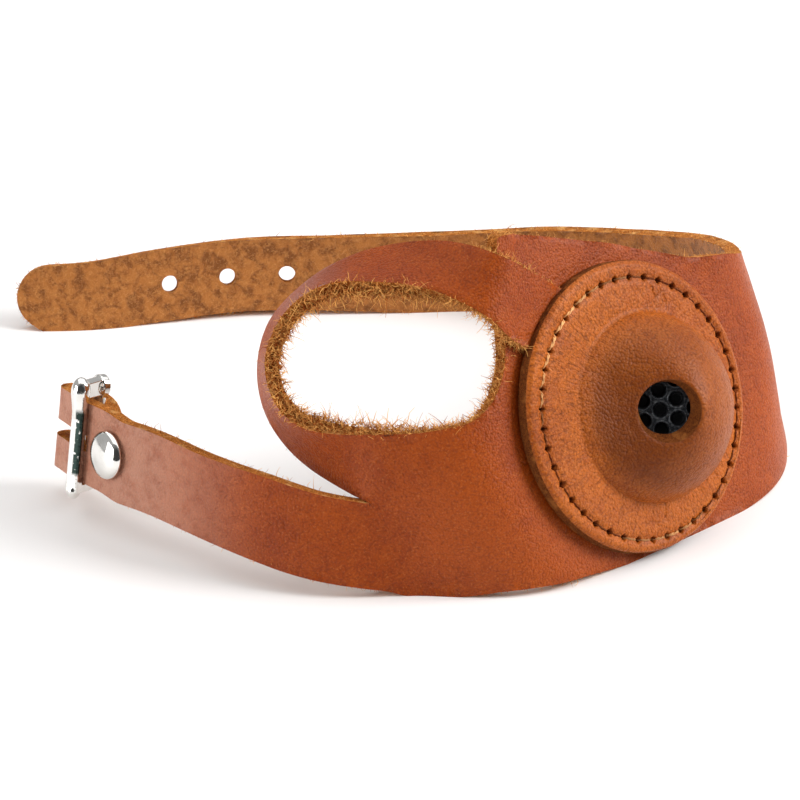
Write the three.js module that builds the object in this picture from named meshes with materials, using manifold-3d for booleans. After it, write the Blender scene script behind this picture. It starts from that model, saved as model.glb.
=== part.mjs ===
// A sewing palm: a leather hand protector with a strap, a thumb loop and a domed shield that holds an eye
// iron. Millimetres, +Z up. It stands on the lower edge of its leather, as it does on a table.
import * as THREE from 'three';
import { mergeVertices } from 'three/addons/utils/BufferGeometryUtils.js';
import Module from 'manifold-3d';

const wasm = await Module();
wasm.setup();

// Driving dimensions
const leather = 2.8;
const clearance = 0.35;
const seatMargin = 0.3;
const shieldAcross = 56;
const shieldThick = 3.2;
const domeThick = 2.4;
const buckleStrapWide = 16;
const holeAcross = 3.6;
const holePitch = 12.4;
const firstHole = 33.4;
const holeCount = 5;
const barAcross = 2.5;
const headAcross = 3.4;
const lugAcross = 3.8;
const rivetCapAcross = 9.5;
const rivetShankAcross = 3;
const slotWide = 3.2;
const flattened = 0.6;
const barSides = 10;
const drillSides = 14;
const turnedSides = 20;

const UP = new THREE.Vector3(0, 0, 1);
const rad = THREE.MathUtils.degToRad;

// The leather strip, one row for each ruling from its holed tip, round the hand, to the buckle.
// x and y: where the ruling stands in plan; foot: height of its lower end; lean: degrees that its top leans
// into the ring; slit, hole and top: distances along the ruling of the slit, of the thumb hole's border and
// of the top. Past the palm's edge the leather ends at the hole's border, and past the slit's end at the slit.
const STRIP = [
  { x: -81.5, y: 85.5, foot: 0.0, lean: -19, slit: 3.5, hole: 7.0, top: 13.5 },
  { x: -66.0, y: 86.5, foot: 0.0, lean: -19, slit: 3.5, hole: 7.0, top: 14.0 },
  { x: -50.5, y: 90.0, foot: 0.4, lean: -18, slit: 3.5, hole: 7.5, top: 15.0 },
  { x: -33.0, y: 93.5, foot: 0.9, lean: -15, slit: 4.0, hole: 7.5, top: 15.5 },
  { x: -13.0, y: 94.5, foot: 0.8, lean: -10, slit: 4.0, hole: 8.0, top: 16.0 },
  { x: 7.0, y: 95.5, foot: 0.3, lean: -6, slit: 4.5, hole: 8.5, top: 17.0 },
  { x: 22.0, y: 96.0, foot: 0.0, lean: -4, slit: 4.5, hole: 9.0, top: 18.0 },
  { x: 37.0, y: 93.0, foot: 0.0, lean: -1, slit: 5.0, hole: 10.0, top: 20.0 },
  { x: 51.0, y: 86.0, foot: 0.0, lean: 3, slit: 6.0, hole: 11.5, top: 23.0 },
  { x: 62.5, y: 75.0, foot: 0.0, lean: 6, slit: 7.0, hole: 13.5, top: 27.5 },
  { x: 70.5, y: 61.5, foot: 0.3, lean: 11, slit: 8.0, hole: 16.0, top: 32.5 },
  { x: 75.0, y: 47.0, foot: 0.5, lean: 14, slit: 9.5, hole: 18.5, top: 37.5 },
  { x: 76.5, y: 33.0, foot: 0.5, lean: 14.5, slit: 10.5, hole: 21.5, top: 42.0 },
  { x: 75.0, y: 20.5, foot: 0.3, lean: 15, slit: 12.0, hole: 24.0, top: 47.0 },
  { x: 69.5, y: 8.0, foot: 0.0, lean: 17.5, slit: 13.5, hole: 28.0, top: 51.0 },
  { x: 60.5, y: -4.0, foot: 0.0, lean: 20, slit: 15.5, hole: 33.0, top: 56.5 },
  { x: 50.0, y: -13.5, foot: 0.0, lean: 22, slit: 17.5, hole: 37.5, top: 61.0 },
  { x: 39.0, y: -21.5, foot: 0.0, lean: 22, slit: 19.0, hole: 42.0, top: 64.5 },
  { x: 29.0, y: -27.0, foot: 0.0, lean: 20, slit: 19.0, hole: 46.0, top: 66.5 },
  { x: 21.5, y: -29.0, foot: 0.0, lean: 16.5, slit: 19.0, hole: 47.5, top: 67.0 },
  { x: 10.5, y: -31.0, foot: 0.0, lean: 13.5, slit: 18.0, hole: 48.0, top: 67.5 },
  { x: 1.5, y: -31.5, foot: 0.3, lean: 12.5, slit: 17.0, hole: 48.0, top: 67.5 },
  { x: -8.0, y: -32.0, foot: 1.8, lean: 12, slit: 16.5, hole: 48.0, top: 67.5 },
  { x: -18.0, y: -31.0, foot: 3.5, lean: 11.5, slit: 16.5, hole: 48.0, top: 67.5 },
  { x: -28.5, y: -27.0, foot: 5.5, lean: 11.5, slit: 16.5, hole: 48.0, top: 67.5 },
  { x: -38.5, y: -21.0, foot: 7.0, lean: 11.5, slit: 16.0, hole: 48.0, top: 67.5 },
  { x: -47.5, y: -13.5, foot: 7.5, lean: 11.5, slit: 16.0, hole: 48.0, top: 67.5 },
  { x: -54.0, y: -7.5, foot: 7.0, lean: 11.5, slit: 16.0, hole: 48.0, top: 67.5 },
];
const palmEdgeRow = 19;
const slitEndRow = 22;
const tipRadius = 6.7;
const underHole = { atPalm: 33.6, atSlit: 30 };
const holeCornerLong = 13;
const holeCornerTall = 14;
const stationStep = 4;
const holeBorderCells = 12;
const holeBorderCrowd = 1.5;
const buckleStrapCells = 15;
const cellsPerFold = 2;

// The thumb loop, one row for each fold of the tongue from the slit, over the thumb, to its end on the palm.
// near and far are the two ends of a ruling across it, and thick its thickness there, pared thin at its end.
const TONGUE = [
  { nearX: -14.5, nearY: -23.5, nearZ: 30.5, farX: -17.5, farY: -16.5, farZ: 20.0, thick: 2.8 },
  { nearX: -21.0, nearY: -21.0, nearZ: 32.5, farX: -25.0, farY: -10.5, farZ: 27.5, thick: 2.8 },
  { nearX: -24.0, nearY: -18.5, nearZ: 39.0, farX: -26.0, farY: -6.0, farZ: 36.5, thick: 2.8 },
  { nearX: -23.0, nearY: -17.0, nearZ: 45.0, farX: -23.5, farY: -4.5, farZ: 43.0, thick: 2.8 },
  { nearX: -19.5, nearY: -16.0, nearZ: 51.0, farX: -19.5, farY: -3.0, farZ: 47.5, thick: 2.8 },
  { nearX: -13.5, nearY: -14.5, nearZ: 55.0, farX: -13.5, farY: -2.5, farZ: 52.5, thick: 2.8 },
  { nearX: -6.5, nearY: -14.5, nearZ: 55.5, farX: -6.0, farY: -2.0, farZ: 56.5, thick: 2.8 },
  { nearX: 2.0, nearY: -14.5, nearZ: 55.0, farX: 3.0, farY: -4.5, farZ: 59.5, thick: 2.8 },
  { nearX: 9.0, nearY: -15.5, nearZ: 53.0, farX: 11.0, farY: -8.5, farZ: 61.5, thick: 2.6 },
  { nearX: 16.0, nearY: -18.5, nearZ: 51.0, farX: 19.0, farY: -14.5, farZ: 62.0, thick: 2.2 },
  { nearX: 20.5, nearY: -20.5, nearZ: 49.0, farX: 26.0, farY: -13.5, farZ: 59.0, thick: 1.7 },
  { nearX: 25.0, nearY: -19.5, nearZ: 46.0, farX: 32.0, farY: -8.5, farZ: 53.0, thick: 1.2 },
  { nearX: 29.0, nearY: -16.0, nearZ: 41.5, farX: 37.0, farY: -4.5, farZ: 47.5, thick: 1.2 },
];
const slitCells = 3;
const holeCells = 3;
const topCells = 6;

// The shield: the centre of its outer face, the way that face turns and leans, and its moulded dome, whose
// eye opens to one side. Inside the dome sits the eye iron, on a round foot.
const shieldCentre = new THREE.Vector3(45.5, -8.2, 27.7);
const shieldTurn = 43;
const shieldLean = 22.5;
const pressedFully = 30;
const pressedNoMore = 52;
const nearShield = 25;
const domeCentre = new THREE.Vector3(1.9, -2.6, 0);
const domeRadius = 18.2;
const domeRootWide = 1.4;
const domeRise = { least: 0.5, steepest: 8 };
const domeShoulder = 3;
const domeCells = 8;
const lipReach = { gentle: 5, steep: 4 };
const rimRounding = 0.7;
const rimDrop = 0.5;
const eyeCentre = new THREE.Vector3(-0.6, -1.4, 9);
const eyeRadius = 6.15;
const eyeTilt = 41;
const eyeTiltTowards = 166;
const azimuths = 40;
const ironRadius = 7;
const ironFootRadius = 11.5;
const ironFootThick = 1.2;
const ironSides = 32;
const plateThick = 1.2;
const plateEdge = 0.7;
const dimplePitch = 3.85;
const dimpleRadius = 1.55;
const dimpleDepth = 0.8;

// The buckle end: the foot of the heel bar, and the fold of strap round it. Seen along the bar, x runs
// towards the palm and z out of the hand.
const heelFoot = new THREE.Vector3(-60, 5.2, 5.9);
const strapAhead = new THREE.Vector3(-0.62, 0.765, -0.08);
const buckleLean = 11.5;
const foldRadius = 3.3;
const foldBeyond = 4.4;
const rivetAlong = 11;
const foldedEnd = 15.4;
const foldPliesGap = 0.5;
const slotReach = { outside: 3.4, inside: 6.2 };
const slotOverlap = 0.2;
const frontBar = { along: 2.3, out: 6.15 };
const headFromTop = { lower: 1.4, upper: 0.4 };
const lugAboveBar = 0.3;
const lugThick = 2;
const prongSteep = 40;
const prongLong = 10.5;
const prongAcross = 1.4;
const rivetCapLift = 0.15;
const rivetCapTall = 2.1;
const rivetBackRadius = 2.6;
const rivetBackThick = 1;
const rivetBackEdge = { inwards: 0.4, up: 0.5 };

const palmDepth = -(shieldThick + clearance + leather / 2);
const foldInner = foldRadius - leather - foldPliesGap;
const strapMiddle = buckleStrapWide / 2;

// A value on a smooth curve through a column of evenly spaced rows.
function smoothValue(rows, key, at) {
  const last = rows.length - 1;
  const i = Math.min(Math.floor(at), last - 1);
  const f = at - i;
  const value = (k) => {
    if (k < 0) return 2 * rows[0][key] - rows[1][key];
    if (k > last) return 2 * rows[last][key] - rows[last - 1][key];
    return rows[k][key];
  };
  const [a, b, c, d] = [value(i - 1), value(i), value(i + 1), value(i + 2)];
  const bend = 2 * a - 5 * b + 4 * c - d + (3 * b - a - 3 * c + d) * f;
  return b + 0.5 * f * (c - a + f * bend);
}

// A height near the ground, where the leather's edge is worn flat.
function rested(height) {
  return height < 2 * flattened ? Math.max(0, 2 * (height - flattened)) : height;
}

// A sheet of leather: points of a surface, each with the leather in front of it and behind it, and the quads
// between them. One that rests is worn flat where it meets the ground.
class Sheet {
  constructor(rests = false) {
    this.rests = rests;
    this.points = [];
    this.quads = [];
  }

  point(position, front, back) {
    this.points.push({ position, front, back });
    return this.points.length - 1;
  }

  // Quads between two rows of points, the first row on the left when seen from the front.
  bridge(left, right) {
    for (let k = 0; k < left.length - 1; k += 1) {
      this.quads.push([left[k], left[k + 1], right[k + 1], right[k]]);
    }
  }

  // The closed wall round the surface; margin makes it thicker and wider on every side.
  wall(margin = 0) {
    const count = this.points.length;
    const normals = this.points.map(() => new THREE.Vector3());
    const outwards = this.points.map(() => new THREE.Vector3());
    const edges = new Map();
    for (const quad of this.quads) {
      const [a, b, c, d] = quad.map((k) => this.points[k].position);
      const across = c.clone().sub(a).cross(d.clone().sub(b));
      const middle = a.clone().add(b).add(c).add(d).multiplyScalar(0.25);
      quad.forEach((k, n) => {
        normals[k].add(across);
        const next = quad[(n + 1) % 4];
        const back = next + '_' + k;
        if (edges.has(back)) edges.delete(back);
        else edges.set(k + '_' + next, [k, next, middle]);
      });
    }
    for (const [k, next, middle] of edges.values()) {
      const along = this.points[next].position.clone().sub(this.points[k].position).normalize();
      const out = this.points[k].position.clone().sub(middle);
      out.addScaledVector(along, -out.dot(along)).normalize();
      outwards[k].add(out);
      outwards[next].add(out);
    }
    normals.forEach((normal) => normal.normalize());
    outwards.forEach((out) => out.normalize());
    const vertices = [];
    for (const side of ['front', 'back']) {
      this.points.forEach((p, k) => {
        const reach = side === 'front' ? p.front + margin : -p.back - margin;
        const place = p.position.clone().addScaledVector(normals[k], reach);
        place.addScaledVector(outwards[k], margin);
        vertices.push(place.x, place.y, this.rests ? rested(place.z) : place.z);
      });
    }
    const index = [];
    for (const [a, b, c, d] of this.quads) {
      index.push(a, b, c, a, c, d);
      index.push(count + a, count + c, count + b, count + a, count + d, count + c);
    }
    for (const [k, next] of edges.values()) {
      index.push(next, k, count + k, next, count + k, count + next);
    }
    return indexed(vertices, index);
  }
}

function indexed(vertices, index) {
  const geometry = new THREE.BufferGeometry();
  geometry.setAttribute('position', new THREE.Float32BufferAttribute(vertices, 3));
  geometry.setIndex(index);
  return geometry;
}

// Solids for cutting and joining
function solid(geometry) {
  const bare = geometry.clone();
  bare.deleteAttribute('normal');
  bare.deleteAttribute('uv');
  const merged = mergeVertices(bare, 1e-4);
  const mesh = new wasm.Mesh({
    numProp: 3,
    vertProperties: new Float32Array(merged.attributes.position.array),
    triVerts: new Uint32Array(merged.index.array),
  });
  return new wasm.Manifold(mesh);
}

function geometryOf(manifold) {
  const mesh = manifold.getMesh();
  return indexed(Array.from(mesh.vertProperties), Array.from(mesh.triVerts));
}

function joined(geometries) {
  return geometries.map(solid).reduce((whole, piece) => whole.add(piece));
}

function cut(manifold, geometries) {
  return geometries.map(solid).reduce((whole, tool) => whole.subtract(tool), manifold);
}

// A closed body through rings of points, each with the same number, from the bottom to the top.
function loft(rings) {
  const sides = rings[0].length;
  const vertices = [];
  const index = [];
  for (const ring of rings) {
    for (const p of ring) vertices.push(p.x, p.y, p.z);
  }
  for (let level = 0; level < rings.length - 1; level += 1) {
    for (let k = 0; k < sides; k += 1) {
      const here = level * sides + k;
      const next = level * sides + ((k + 1) % sides);
      index.push(here, next, next + sides, here, next + sides, here + sides);
    }
  }
  for (const [level, turn] of [[0, -1], [rings.length - 1, 1]]) {
    const centre = rings[level].reduce((sum, p) => sum.add(p), new THREE.Vector3()).divideScalar(sides);
    const hub = vertices.length / 3;
    vertices.push(centre.x, centre.y, centre.z);
    for (let k = 0; k < sides; k += 1) {
      const pair = [level * sides + k, level * sides + ((k + 1) % sides)];
      index.push(hub, ...(turn > 0 ? pair : pair.reverse()));
    }
  }
  return indexed(vertices, index);
}

// A round bar with round ends between two points.
function bar(from, to, across) {
  const along = to.clone().sub(from);
  const geometry = new THREE.CapsuleGeometry(across / 2, along.length(), 2, barSides);
  const turn = new THREE.Quaternion().setFromUnitVectors(new THREE.Vector3(0, 1, 0), along.normalize());
  const middle = from.clone().add(to).multiplyScalar(0.5);
  return geometry.applyQuaternion(turn).translate(middle.x, middle.y, middle.z);
}

// A cylinder with its middle at a point and its axis along a direction.
function drill(middle, direction, across, long) {
  const geometry = new THREE.CylinderGeometry(across / 2, across / 2, long, drillSides);
  const turn = new THREE.Quaternion().setFromUnitVectors(new THREE.Vector3(0, 1, 0), direction);
  return geometry.applyQuaternion(turn).translate(middle.x, middle.y, middle.z);
}

function named(name, geometry, look) {
  const flat = geometry.index ? geometry.toNonIndexed() : geometry;
  flat.computeVertexNormals();
  const mesh = new THREE.Mesh(flat, new THREE.MeshStandardMaterial(look));
  mesh.name = name;
  return mesh;
}

// The direction up a ruling that leans towards inward and stays square to the strip.
function leaning(along, inward, degrees) {
  const lean = rad(degrees);
  const rise = UP.clone().multiplyScalar(Math.cos(lean)).addScaledVector(inward, Math.sin(lean));
  return rise.addScaledVector(along, -rise.dot(along)).normalize();
}

// Frames of reference
function shieldFrame() {
  const turn = rad(shieldTurn);
  const lean = rad(shieldLean);
  const level = new THREE.Vector3(Math.cos(turn), Math.sin(turn), 0);
  const facing = new THREE.Vector3(Math.sin(turn), -Math.cos(turn), 0);
  const out = facing.multiplyScalar(Math.cos(lean)).setZ(Math.sin(lean));
  const along = out.clone().cross(level);
  return new THREE.Matrix4().makeBasis(level, along, out).setPosition(shieldCentre);
}

function buckleFrame() {
  const toPalm = strapAhead.clone().normalize().negate();
  const inward = new THREE.Vector3(-toPalm.y, toPalm.x, 0).normalize();
  const rise = leaning(toPalm, inward, buckleLean);
  const out = toPalm.clone().cross(rise);
  return new THREE.Matrix4().makeBasis(toPalm, rise, out).setPosition(heelFoot);
}

const shieldPlace = shieldFrame();
const bucklePlace = buckleFrame();

// The leather lies flat under the stiff shield: a point near it moves to its depth behind the shield's face.
function pressed(point, depth) {
  const local = point.clone().applyMatrix4(shieldPlace.clone().invert());
  const reach = Math.hypot(local.x, local.y);
  const loose = THREE.MathUtils.smoothstep(reach, pressedFully, pressedNoMore);
  if (Math.abs(local.z) < nearShield) local.z += (depth - local.z) * (1 - loose);
  return local.applyMatrix4(shieldPlace);
}

// Where the ruling stands at a place along the table, and which way it rises.
function rulingAt(at) {
  const value = (key) => smoothValue(STRIP, key, at);
  const step = 0.02;
  const before = Math.max(at - step, 0);
  const after = Math.min(at + step, STRIP.length - 1);
  const change = (key) => smoothValue(STRIP, key, after) - smoothValue(STRIP, key, before);
  const ahead = new THREE.Vector3(change('x'), change('y'), change('foot')).normalize();
  const inward = new THREE.Vector3(ahead.y, -ahead.x, 0).normalize();
  const rise = leaning(ahead, inward, value('lean'));
  return {
    foot: new THREE.Vector3(value('x'), value('y'), value('foot')),
    ahead,
    rise,
    slit: value('slit'),
    hole: value('hole'),
    top: value('top'),
  };
}

// Distances up a ruling, from its foot past the slit and the hole's border to its top.
function rungs({ slit, hole, top }) {
  const stretches = [[0, slit, slitCells], [slit, hole, holeCells], [hole, top, topCells]];
  return stretches.flatMap(([low, high, cells]) => {
    return Array.from({ length: cells }, (_, k) => THREE.MathUtils.lerp(low, high, k / cells));
  }).concat(top);
}

function rowsBetween(from, to, cells, crowd = 1) {
  return Array.from({ length: cells }, (_, k) => from + (to - from) * ((k + 1) / cells) ** crowd);
}

function rowLength(row) {
  return Math.hypot(STRIP[row + 1].x - STRIP[row].x, STRIP[row + 1].y - STRIP[row].y);
}

// The section of the fold round the heel bar and back to the rivet, seen along the bar. Its end is narrower.
function foldSection() {
  const section = [9.5, 5, 1, -2, -foldBeyond].map((along) => ({ along, out: foldRadius, narrower: 0 }));
  for (const angle of [26, 52, 78, 102, 128, 154, 180]) {
    const along = -foldBeyond - foldRadius * Math.sin(rad(angle));
    section.push({ along, out: foldRadius * Math.cos(rad(angle)), narrower: 0 });
  }
  return section.concat([
    { along: -1.5, out: -foldRadius, narrower: 0 },
    { along: 1.5, out: -foldRadius, narrower: 0 },
    { along: 3.5, out: -2.7, narrower: 0.5 },
    { along: 5, out: -1.9, narrower: 1.2 },
    { along: 6.5, out: -1, narrower: 2 },
    { along: 8, out: foldInner, narrower: 2.5 },
    { along: 11, out: foldInner, narrower: 3 },
    { along: foldedEnd, out: foldInner, narrower: 4.5 },
  ]);
}

// The whole leather: strip, buckle strap with its fold, and tongue
function leatherWall(margin) {
  const sheet = new Sheet(true);
  const half = leather / 2;
  const columns = [];
  const addColumn = (ruling, heights) => {
    const at = (up) => ruling.foot.clone().addScaledVector(ruling.rise, up);
    columns.push(heights.map((up) => sheet.point(pressed(at(up), palmDepth), half, half)));
  };
  const bridgeLast = (rows) => {
    const [left, right] = columns.slice(-2);
    sheet.bridge(left.slice(0, rows), right.slice(0, rows));
  };

  // The round tip, with rulings that shorten towards its nose, and the strap and palm after it
  const tipLength = rowLength(0);
  const places = [14, 30, 46, 62, 78].map((angle) => ({
    at: (tipRadius * (1 - Math.cos(rad(angle)))) / tipLength,
    share: Math.sin(rad(angle)),
  }));
  const straight = tipRadius / tipLength;
  for (const at of [straight, ...rowsBetween(straight, 1, 2)]) places.push({ at, share: 1 });
  for (let row = 1; row < palmEdgeRow; row += 1) {
    const cells = Math.round(rowLength(row) / stationStep);
    for (const at of rowsBetween(row, row + 1, cells)) places.push({ at, share: 1 });
  }
  for (const { at, share } of places) {
    const ruling = rulingAt(at);
    const middle = ruling.top / 2;
    addColumn(ruling, rungs(ruling).map((up) => middle + (up - middle) * share));
    if (columns.length > 1) bridgeLast(columns[0].length);
  }

  // Below the thumb hole, whose border rounds up into the palm's edge
  const edgeX = STRIP[palmEdgeRow].x;
  for (const at of rowsBetween(palmEdgeRow, slitEndRow, holeBorderCells, holeBorderCrowd)) {
    const ruling = rulingAt(at);
    const passed = Math.min((edgeX - ruling.foot.x) / holeCornerLong, 1);
    const corner = holeCornerTall * (1 - Math.sqrt(1 - (1 - passed) ** 2));
    const share = (edgeX - ruling.foot.x) / (edgeX - STRIP[slitEndRow].x);
    ruling.hole = THREE.MathUtils.lerp(underHole.atPalm, underHole.atSlit, share) + corner;
    addColumn(ruling, rungs(ruling).slice(0, slitCells + holeCells + 1));
    bridgeLast(slitCells + holeCells + 1);
  }
  const root = columns.at(-1).slice(slitCells);

  // The buckle strap and its fold
  for (const at of rowsBetween(slitEndRow, STRIP.length - 1, buckleStrapCells)) {
    const ruling = rulingAt(at);
    addColumn(ruling, rungs(ruling).slice(0, slitCells + 1));
    bridgeLast(slitCells + 1);
  }
  const rise = new THREE.Vector3().setFromMatrixColumn(bucklePlace, 1);
  for (const { along, out, narrower } of foldSection()) {
    const foot = new THREE.Vector3(along, 0, out).applyMatrix4(bucklePlace);
    const tall = buckleStrapWide - 2 * narrower;
    addColumn({ foot, rise }, [0, 1, 2, 3].map((k) => narrower + (tall * k) / slitCells));
    bridgeLast(slitCells + 1);
  }

  // The tongue over the thumb, from the slit's end to the palm
  const far = sheet.points[root[0]].position;
  const near = sheet.points[root.at(-1)].position;
  const start = {
    nearX: near.x, nearY: near.y, nearZ: near.z, farX: far.x, farY: far.y, farZ: far.z, thick: leather,
  };
  const rows = [start, ...TONGUE];
  let previous = root;
  for (const at of rowsBetween(0, TONGUE.length, TONGUE.length * cellsPerFold)) {
    const value = (key) => smoothValue(rows, key, at);
    const nearEnd = new THREE.Vector3(value('nearX'), value('nearY'), value('nearZ'));
    const farEnd = new THREE.Vector3(value('farX'), value('farY'), value('farZ'));
    const thick = value('thick');
    const depth = palmDepth + half + clearance + thick / 2;
    const next = root.map((_, k) => {
      const place = pressed(farEnd.clone().lerp(nearEnd, k / holeCells), depth);
      return sheet.point(place, thick / 2, thick / 2);
    });
    sheet.bridge(previous, next);
    previous = next;
  }
  return sheet.wall(margin);
}

// Where a hole in the strap is, by its distance from the tip, and the way it goes through
function strapHole(distance) {
  let at = 0;
  let left = distance;
  while (left > rowLength(Math.floor(at))) {
    left -= rowLength(Math.floor(at));
    at += 1;
  }
  const ruling = rulingAt(at + left / rowLength(at));
  const middle = ruling.foot.clone().addScaledVector(ruling.rise, ruling.top / 2);
  return drill(middle, ruling.ahead.clone().cross(ruling.rise).normalize(), holeAcross, 4 * leather);
}

// The slot that the prong's eye turns in, longer on the inside of the fold, where the prong comes out
function prongSlot() {
  const from = -foldBeyond - foldRadius - leather;
  const halves = [{ to: slotReach.outside, side: 1 }, { to: slotReach.inside, side: -1 }];
  return halves.map(({ to, side }) => {
    const deep = foldRadius + leather;
    const box = new THREE.BoxGeometry(to - from, slotWide, deep + slotOverlap);
    box.translate((from + to) / 2, strapMiddle, (side * deep) / 2);
    return box.applyMatrix4(bucklePlace);
  });
}

function palmLeather() {
  const axis = new THREE.Vector3().setFromMatrixColumn(bucklePlace, 2);
  const rivetMiddle = new THREE.Vector3(rivetAlong, strapMiddle, (foldRadius + foldInner) / 2);
  rivetMiddle.applyMatrix4(bucklePlace);
  const rivetHole = drill(rivetMiddle, axis, rivetShankAcross + 2 * clearance, 5 * leather);
  const holes = Array.from({ length: holeCount }, (_, k) => strapHole(firstHole + k * holePitch));
  return geometryOf(cut(solid(leatherWall(0)), [...holes, ...prongSlot(), rivetHole]));
}

// The eye's opening in the shield's frame: its axis, the way down in its plane, and directions round it
const eyeAxis = new THREE.Vector3(Math.sin(rad(eyeTilt)), 0, Math.cos(rad(eyeTilt)));
const eyeDown = new THREE.Vector3(Math.cos(rad(eyeTilt)), 0, -Math.sin(rad(eyeTilt)));
for (const direction of [eyeAxis, eyeDown]) direction.applyAxisAngle(UP, rad(eyeTiltTowards));

function eyeDirection(azimuth) {
  return eyeDown.clone().applyAxisAngle(eyeAxis, azimuth - rad(eyeTiltTowards));
}

function levelRing(centre, radius, height, sides) {
  return Array.from({ length: sides }, (_, k) => {
    const spoke = new THREE.Vector3(radius, 0, height).applyAxisAngle(UP, (k / sides) * 2 * Math.PI);
    return spoke.add(centre);
  });
}

// The shield's outer face along one azimuth, from the rim over the flat flange and up the dome to the eye
function shieldMeridian(azimuth) {
  const radial = new THREE.Vector3(Math.cos(azimuth), Math.sin(azimuth), 0);
  const steep = (1 - Math.cos(azimuth - rad(eyeTiltTowards))) / 2;
  const base = domeCentre.clone().addScaledVector(radial, domeRadius);
  const lip = eyeCentre.clone().addScaledVector(eyeDirection(azimuth), eyeRadius);
  const rise = THREE.MathUtils.lerp(domeRise.least, domeRise.steepest, steep);
  const rising = base.clone().addScaledVector(UP, rise);
  rising.addScaledVector(radial, -domeShoulder * (1 - steep));
  const reach = THREE.MathUtils.lerp(lipReach.gentle, lipReach.steep, steep);
  const closing = lip.clone().addScaledVector(eyeDirection(azimuth), reach);
  const dome = new THREE.CubicBezierCurve3(base, rising, closing, lip);
  const rim = radial.clone().multiplyScalar(shieldAcross / 2);
  const points = [
    { place: rim.clone().setZ(-rimDrop), thick: shieldThick - rimDrop },
    { place: rim.clone().addScaledVector(radial, -rimRounding), thick: shieldThick },
    { place: domeCentre.clone().addScaledVector(radial, domeRadius + domeRootWide), thick: shieldThick },
  ];
  for (let k = 0; k <= domeCells; k += 1) {
    points.push({ place: dome.getPoint(k / domeCells), thick: domeThick });
  }
  return points;
}

function shieldWall() {
  const sheet = new Sheet();
  const meridians = Array.from({ length: azimuths }, (_, k) => {
    const points = shieldMeridian((k / azimuths) * 2 * Math.PI);
    return points.map(({ place, thick }) => sheet.point(place.applyMatrix4(shieldPlace), 0, thick));
  });
  meridians.forEach((meridian, k) => sheet.bridge(meridians[(k + 1) % azimuths], meridian));
  return geometryOf(cut(solid(sheet.wall()), [leatherWall(seatMargin)]));
}

// The eye iron: a dimpled plate under the eye, on a body that widens to a round foot on the leather
function eyeIron() {
  const plateCentre = eyeCentre.clone().addScaledVector(eyeAxis, -(domeThick + 2 * clearance));
  const turns = Array.from({ length: ironSides }, (_, k) => (k / ironSides) * 2 * Math.PI);
  const around = turns.map(eyeDirection);
  const plate = (radius, sunk) => around.map((direction) => {
    return plateCentre.clone().addScaledVector(direction, radius).addScaledVector(eyeAxis, -sunk);
  });
  const foot = -shieldThick;
  const body = loft([
    levelRing(domeCentre, ironFootRadius, foot, ironSides),
    levelRing(domeCentre, ironFootRadius, foot + ironFootThick, ironSides),
    plate(ironRadius, plateThick),
    plate(ironRadius - plateEdge, 0),
  ]);
  const ballRadius = (dimpleRadius ** 2 + dimpleDepth ** 2) / (2 * dimpleDepth);
  const across = eyeDirection(rad(eyeTiltTowards + 90));
  const balls = [];
  for (let row = -2; row <= 2; row += 1) {
    for (let step = -2; step <= 2; step += 1) {
      const x = (step + (row % 2) / 2) * dimplePitch;
      const y = row * dimplePitch * Math.sin(rad(60));
      if (Math.hypot(x, y) > ironRadius) continue;
      const place = plateCentre.clone().addScaledVector(across, x).addScaledVector(eyeDown, y);
      place.addScaledVector(eyeAxis, ballRadius - dimpleDepth);
      balls.push(new THREE.IcosahedronGeometry(ballRadius, 1).translate(place.x, place.y, place.z));
    }
  }
  return geometryOf(cut(solid(body), balls)).applyMatrix4(shieldPlace);
}

// The rivet through strap and fold: domed cap outside, shank, and a small cap inside
function strapRivet() {
  const capFace = foldRadius + leather / 2 + clearance + rivetCapLift;
  const backFace = foldInner - leather / 2 - clearance;
  const backEnd = backFace - rivetBackThick;
  const shank = rivetShankAcross / 2;
  const profile = [
    [0, backEnd],
    [rivetBackRadius - rivetBackEdge.inwards, backEnd],
    [rivetBackRadius, backEnd + rivetBackEdge.up],
    [rivetBackRadius, backFace],
    [shank, backFace],
    [shank, capFace],
  ];
  const capRadius = rivetCapAcross / 2;
  for (const angle of [0, 18, 36, 54, 72]) {
    profile.push([capRadius * Math.cos(rad(angle)), capFace + rivetCapTall * Math.sin(rad(angle))]);
  }
  profile.push([0, capFace + rivetCapTall]);
  const lathe = new THREE.LatheGeometry(profile.map(([r, z]) => new THREE.Vector2(r, z)), turnedSides);
  lathe.rotateX(Math.PI / 2).translate(rivetAlong, strapMiddle, 0);
  return geometryOf(solid(lathe)).applyMatrix4(bucklePlace);
}

// The buckle's frame: heel bar inside the fold, front bar with its thick head outside it, and rails past the
// strap's two edges, with a round lug at the top end of the heel bar
function buckleFrameMetal() {
  const low = -(clearance + barAcross / 2);
  const high = buckleStrapWide + clearance + barAcross / 2;
  const heel = (up) => new THREE.Vector3(0, up, 0);
  const front = (up) => new THREE.Vector3(frontBar.along, up, frontBar.out);
  const headOut = frontBar.out + (headAcross - barAcross) / 2;
  const head = (fromTop) => front(high - fromTop).setZ(headOut);
  const pieces = [
    bar(heel(low), heel(high), barAcross),
    bar(front(low), front(high), barAcross),
    bar(heel(low), front(low), barAcross),
    bar(heel(high), front(high), barAcross),
    bar(head(headFromTop.lower), head(headFromTop.upper), headAcross),
    drill(heel(high + lugAboveBar), UP, lugAcross, lugThick),
  ];
  return geometryOf(joined(pieces)).applyMatrix4(bucklePlace);
}

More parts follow.
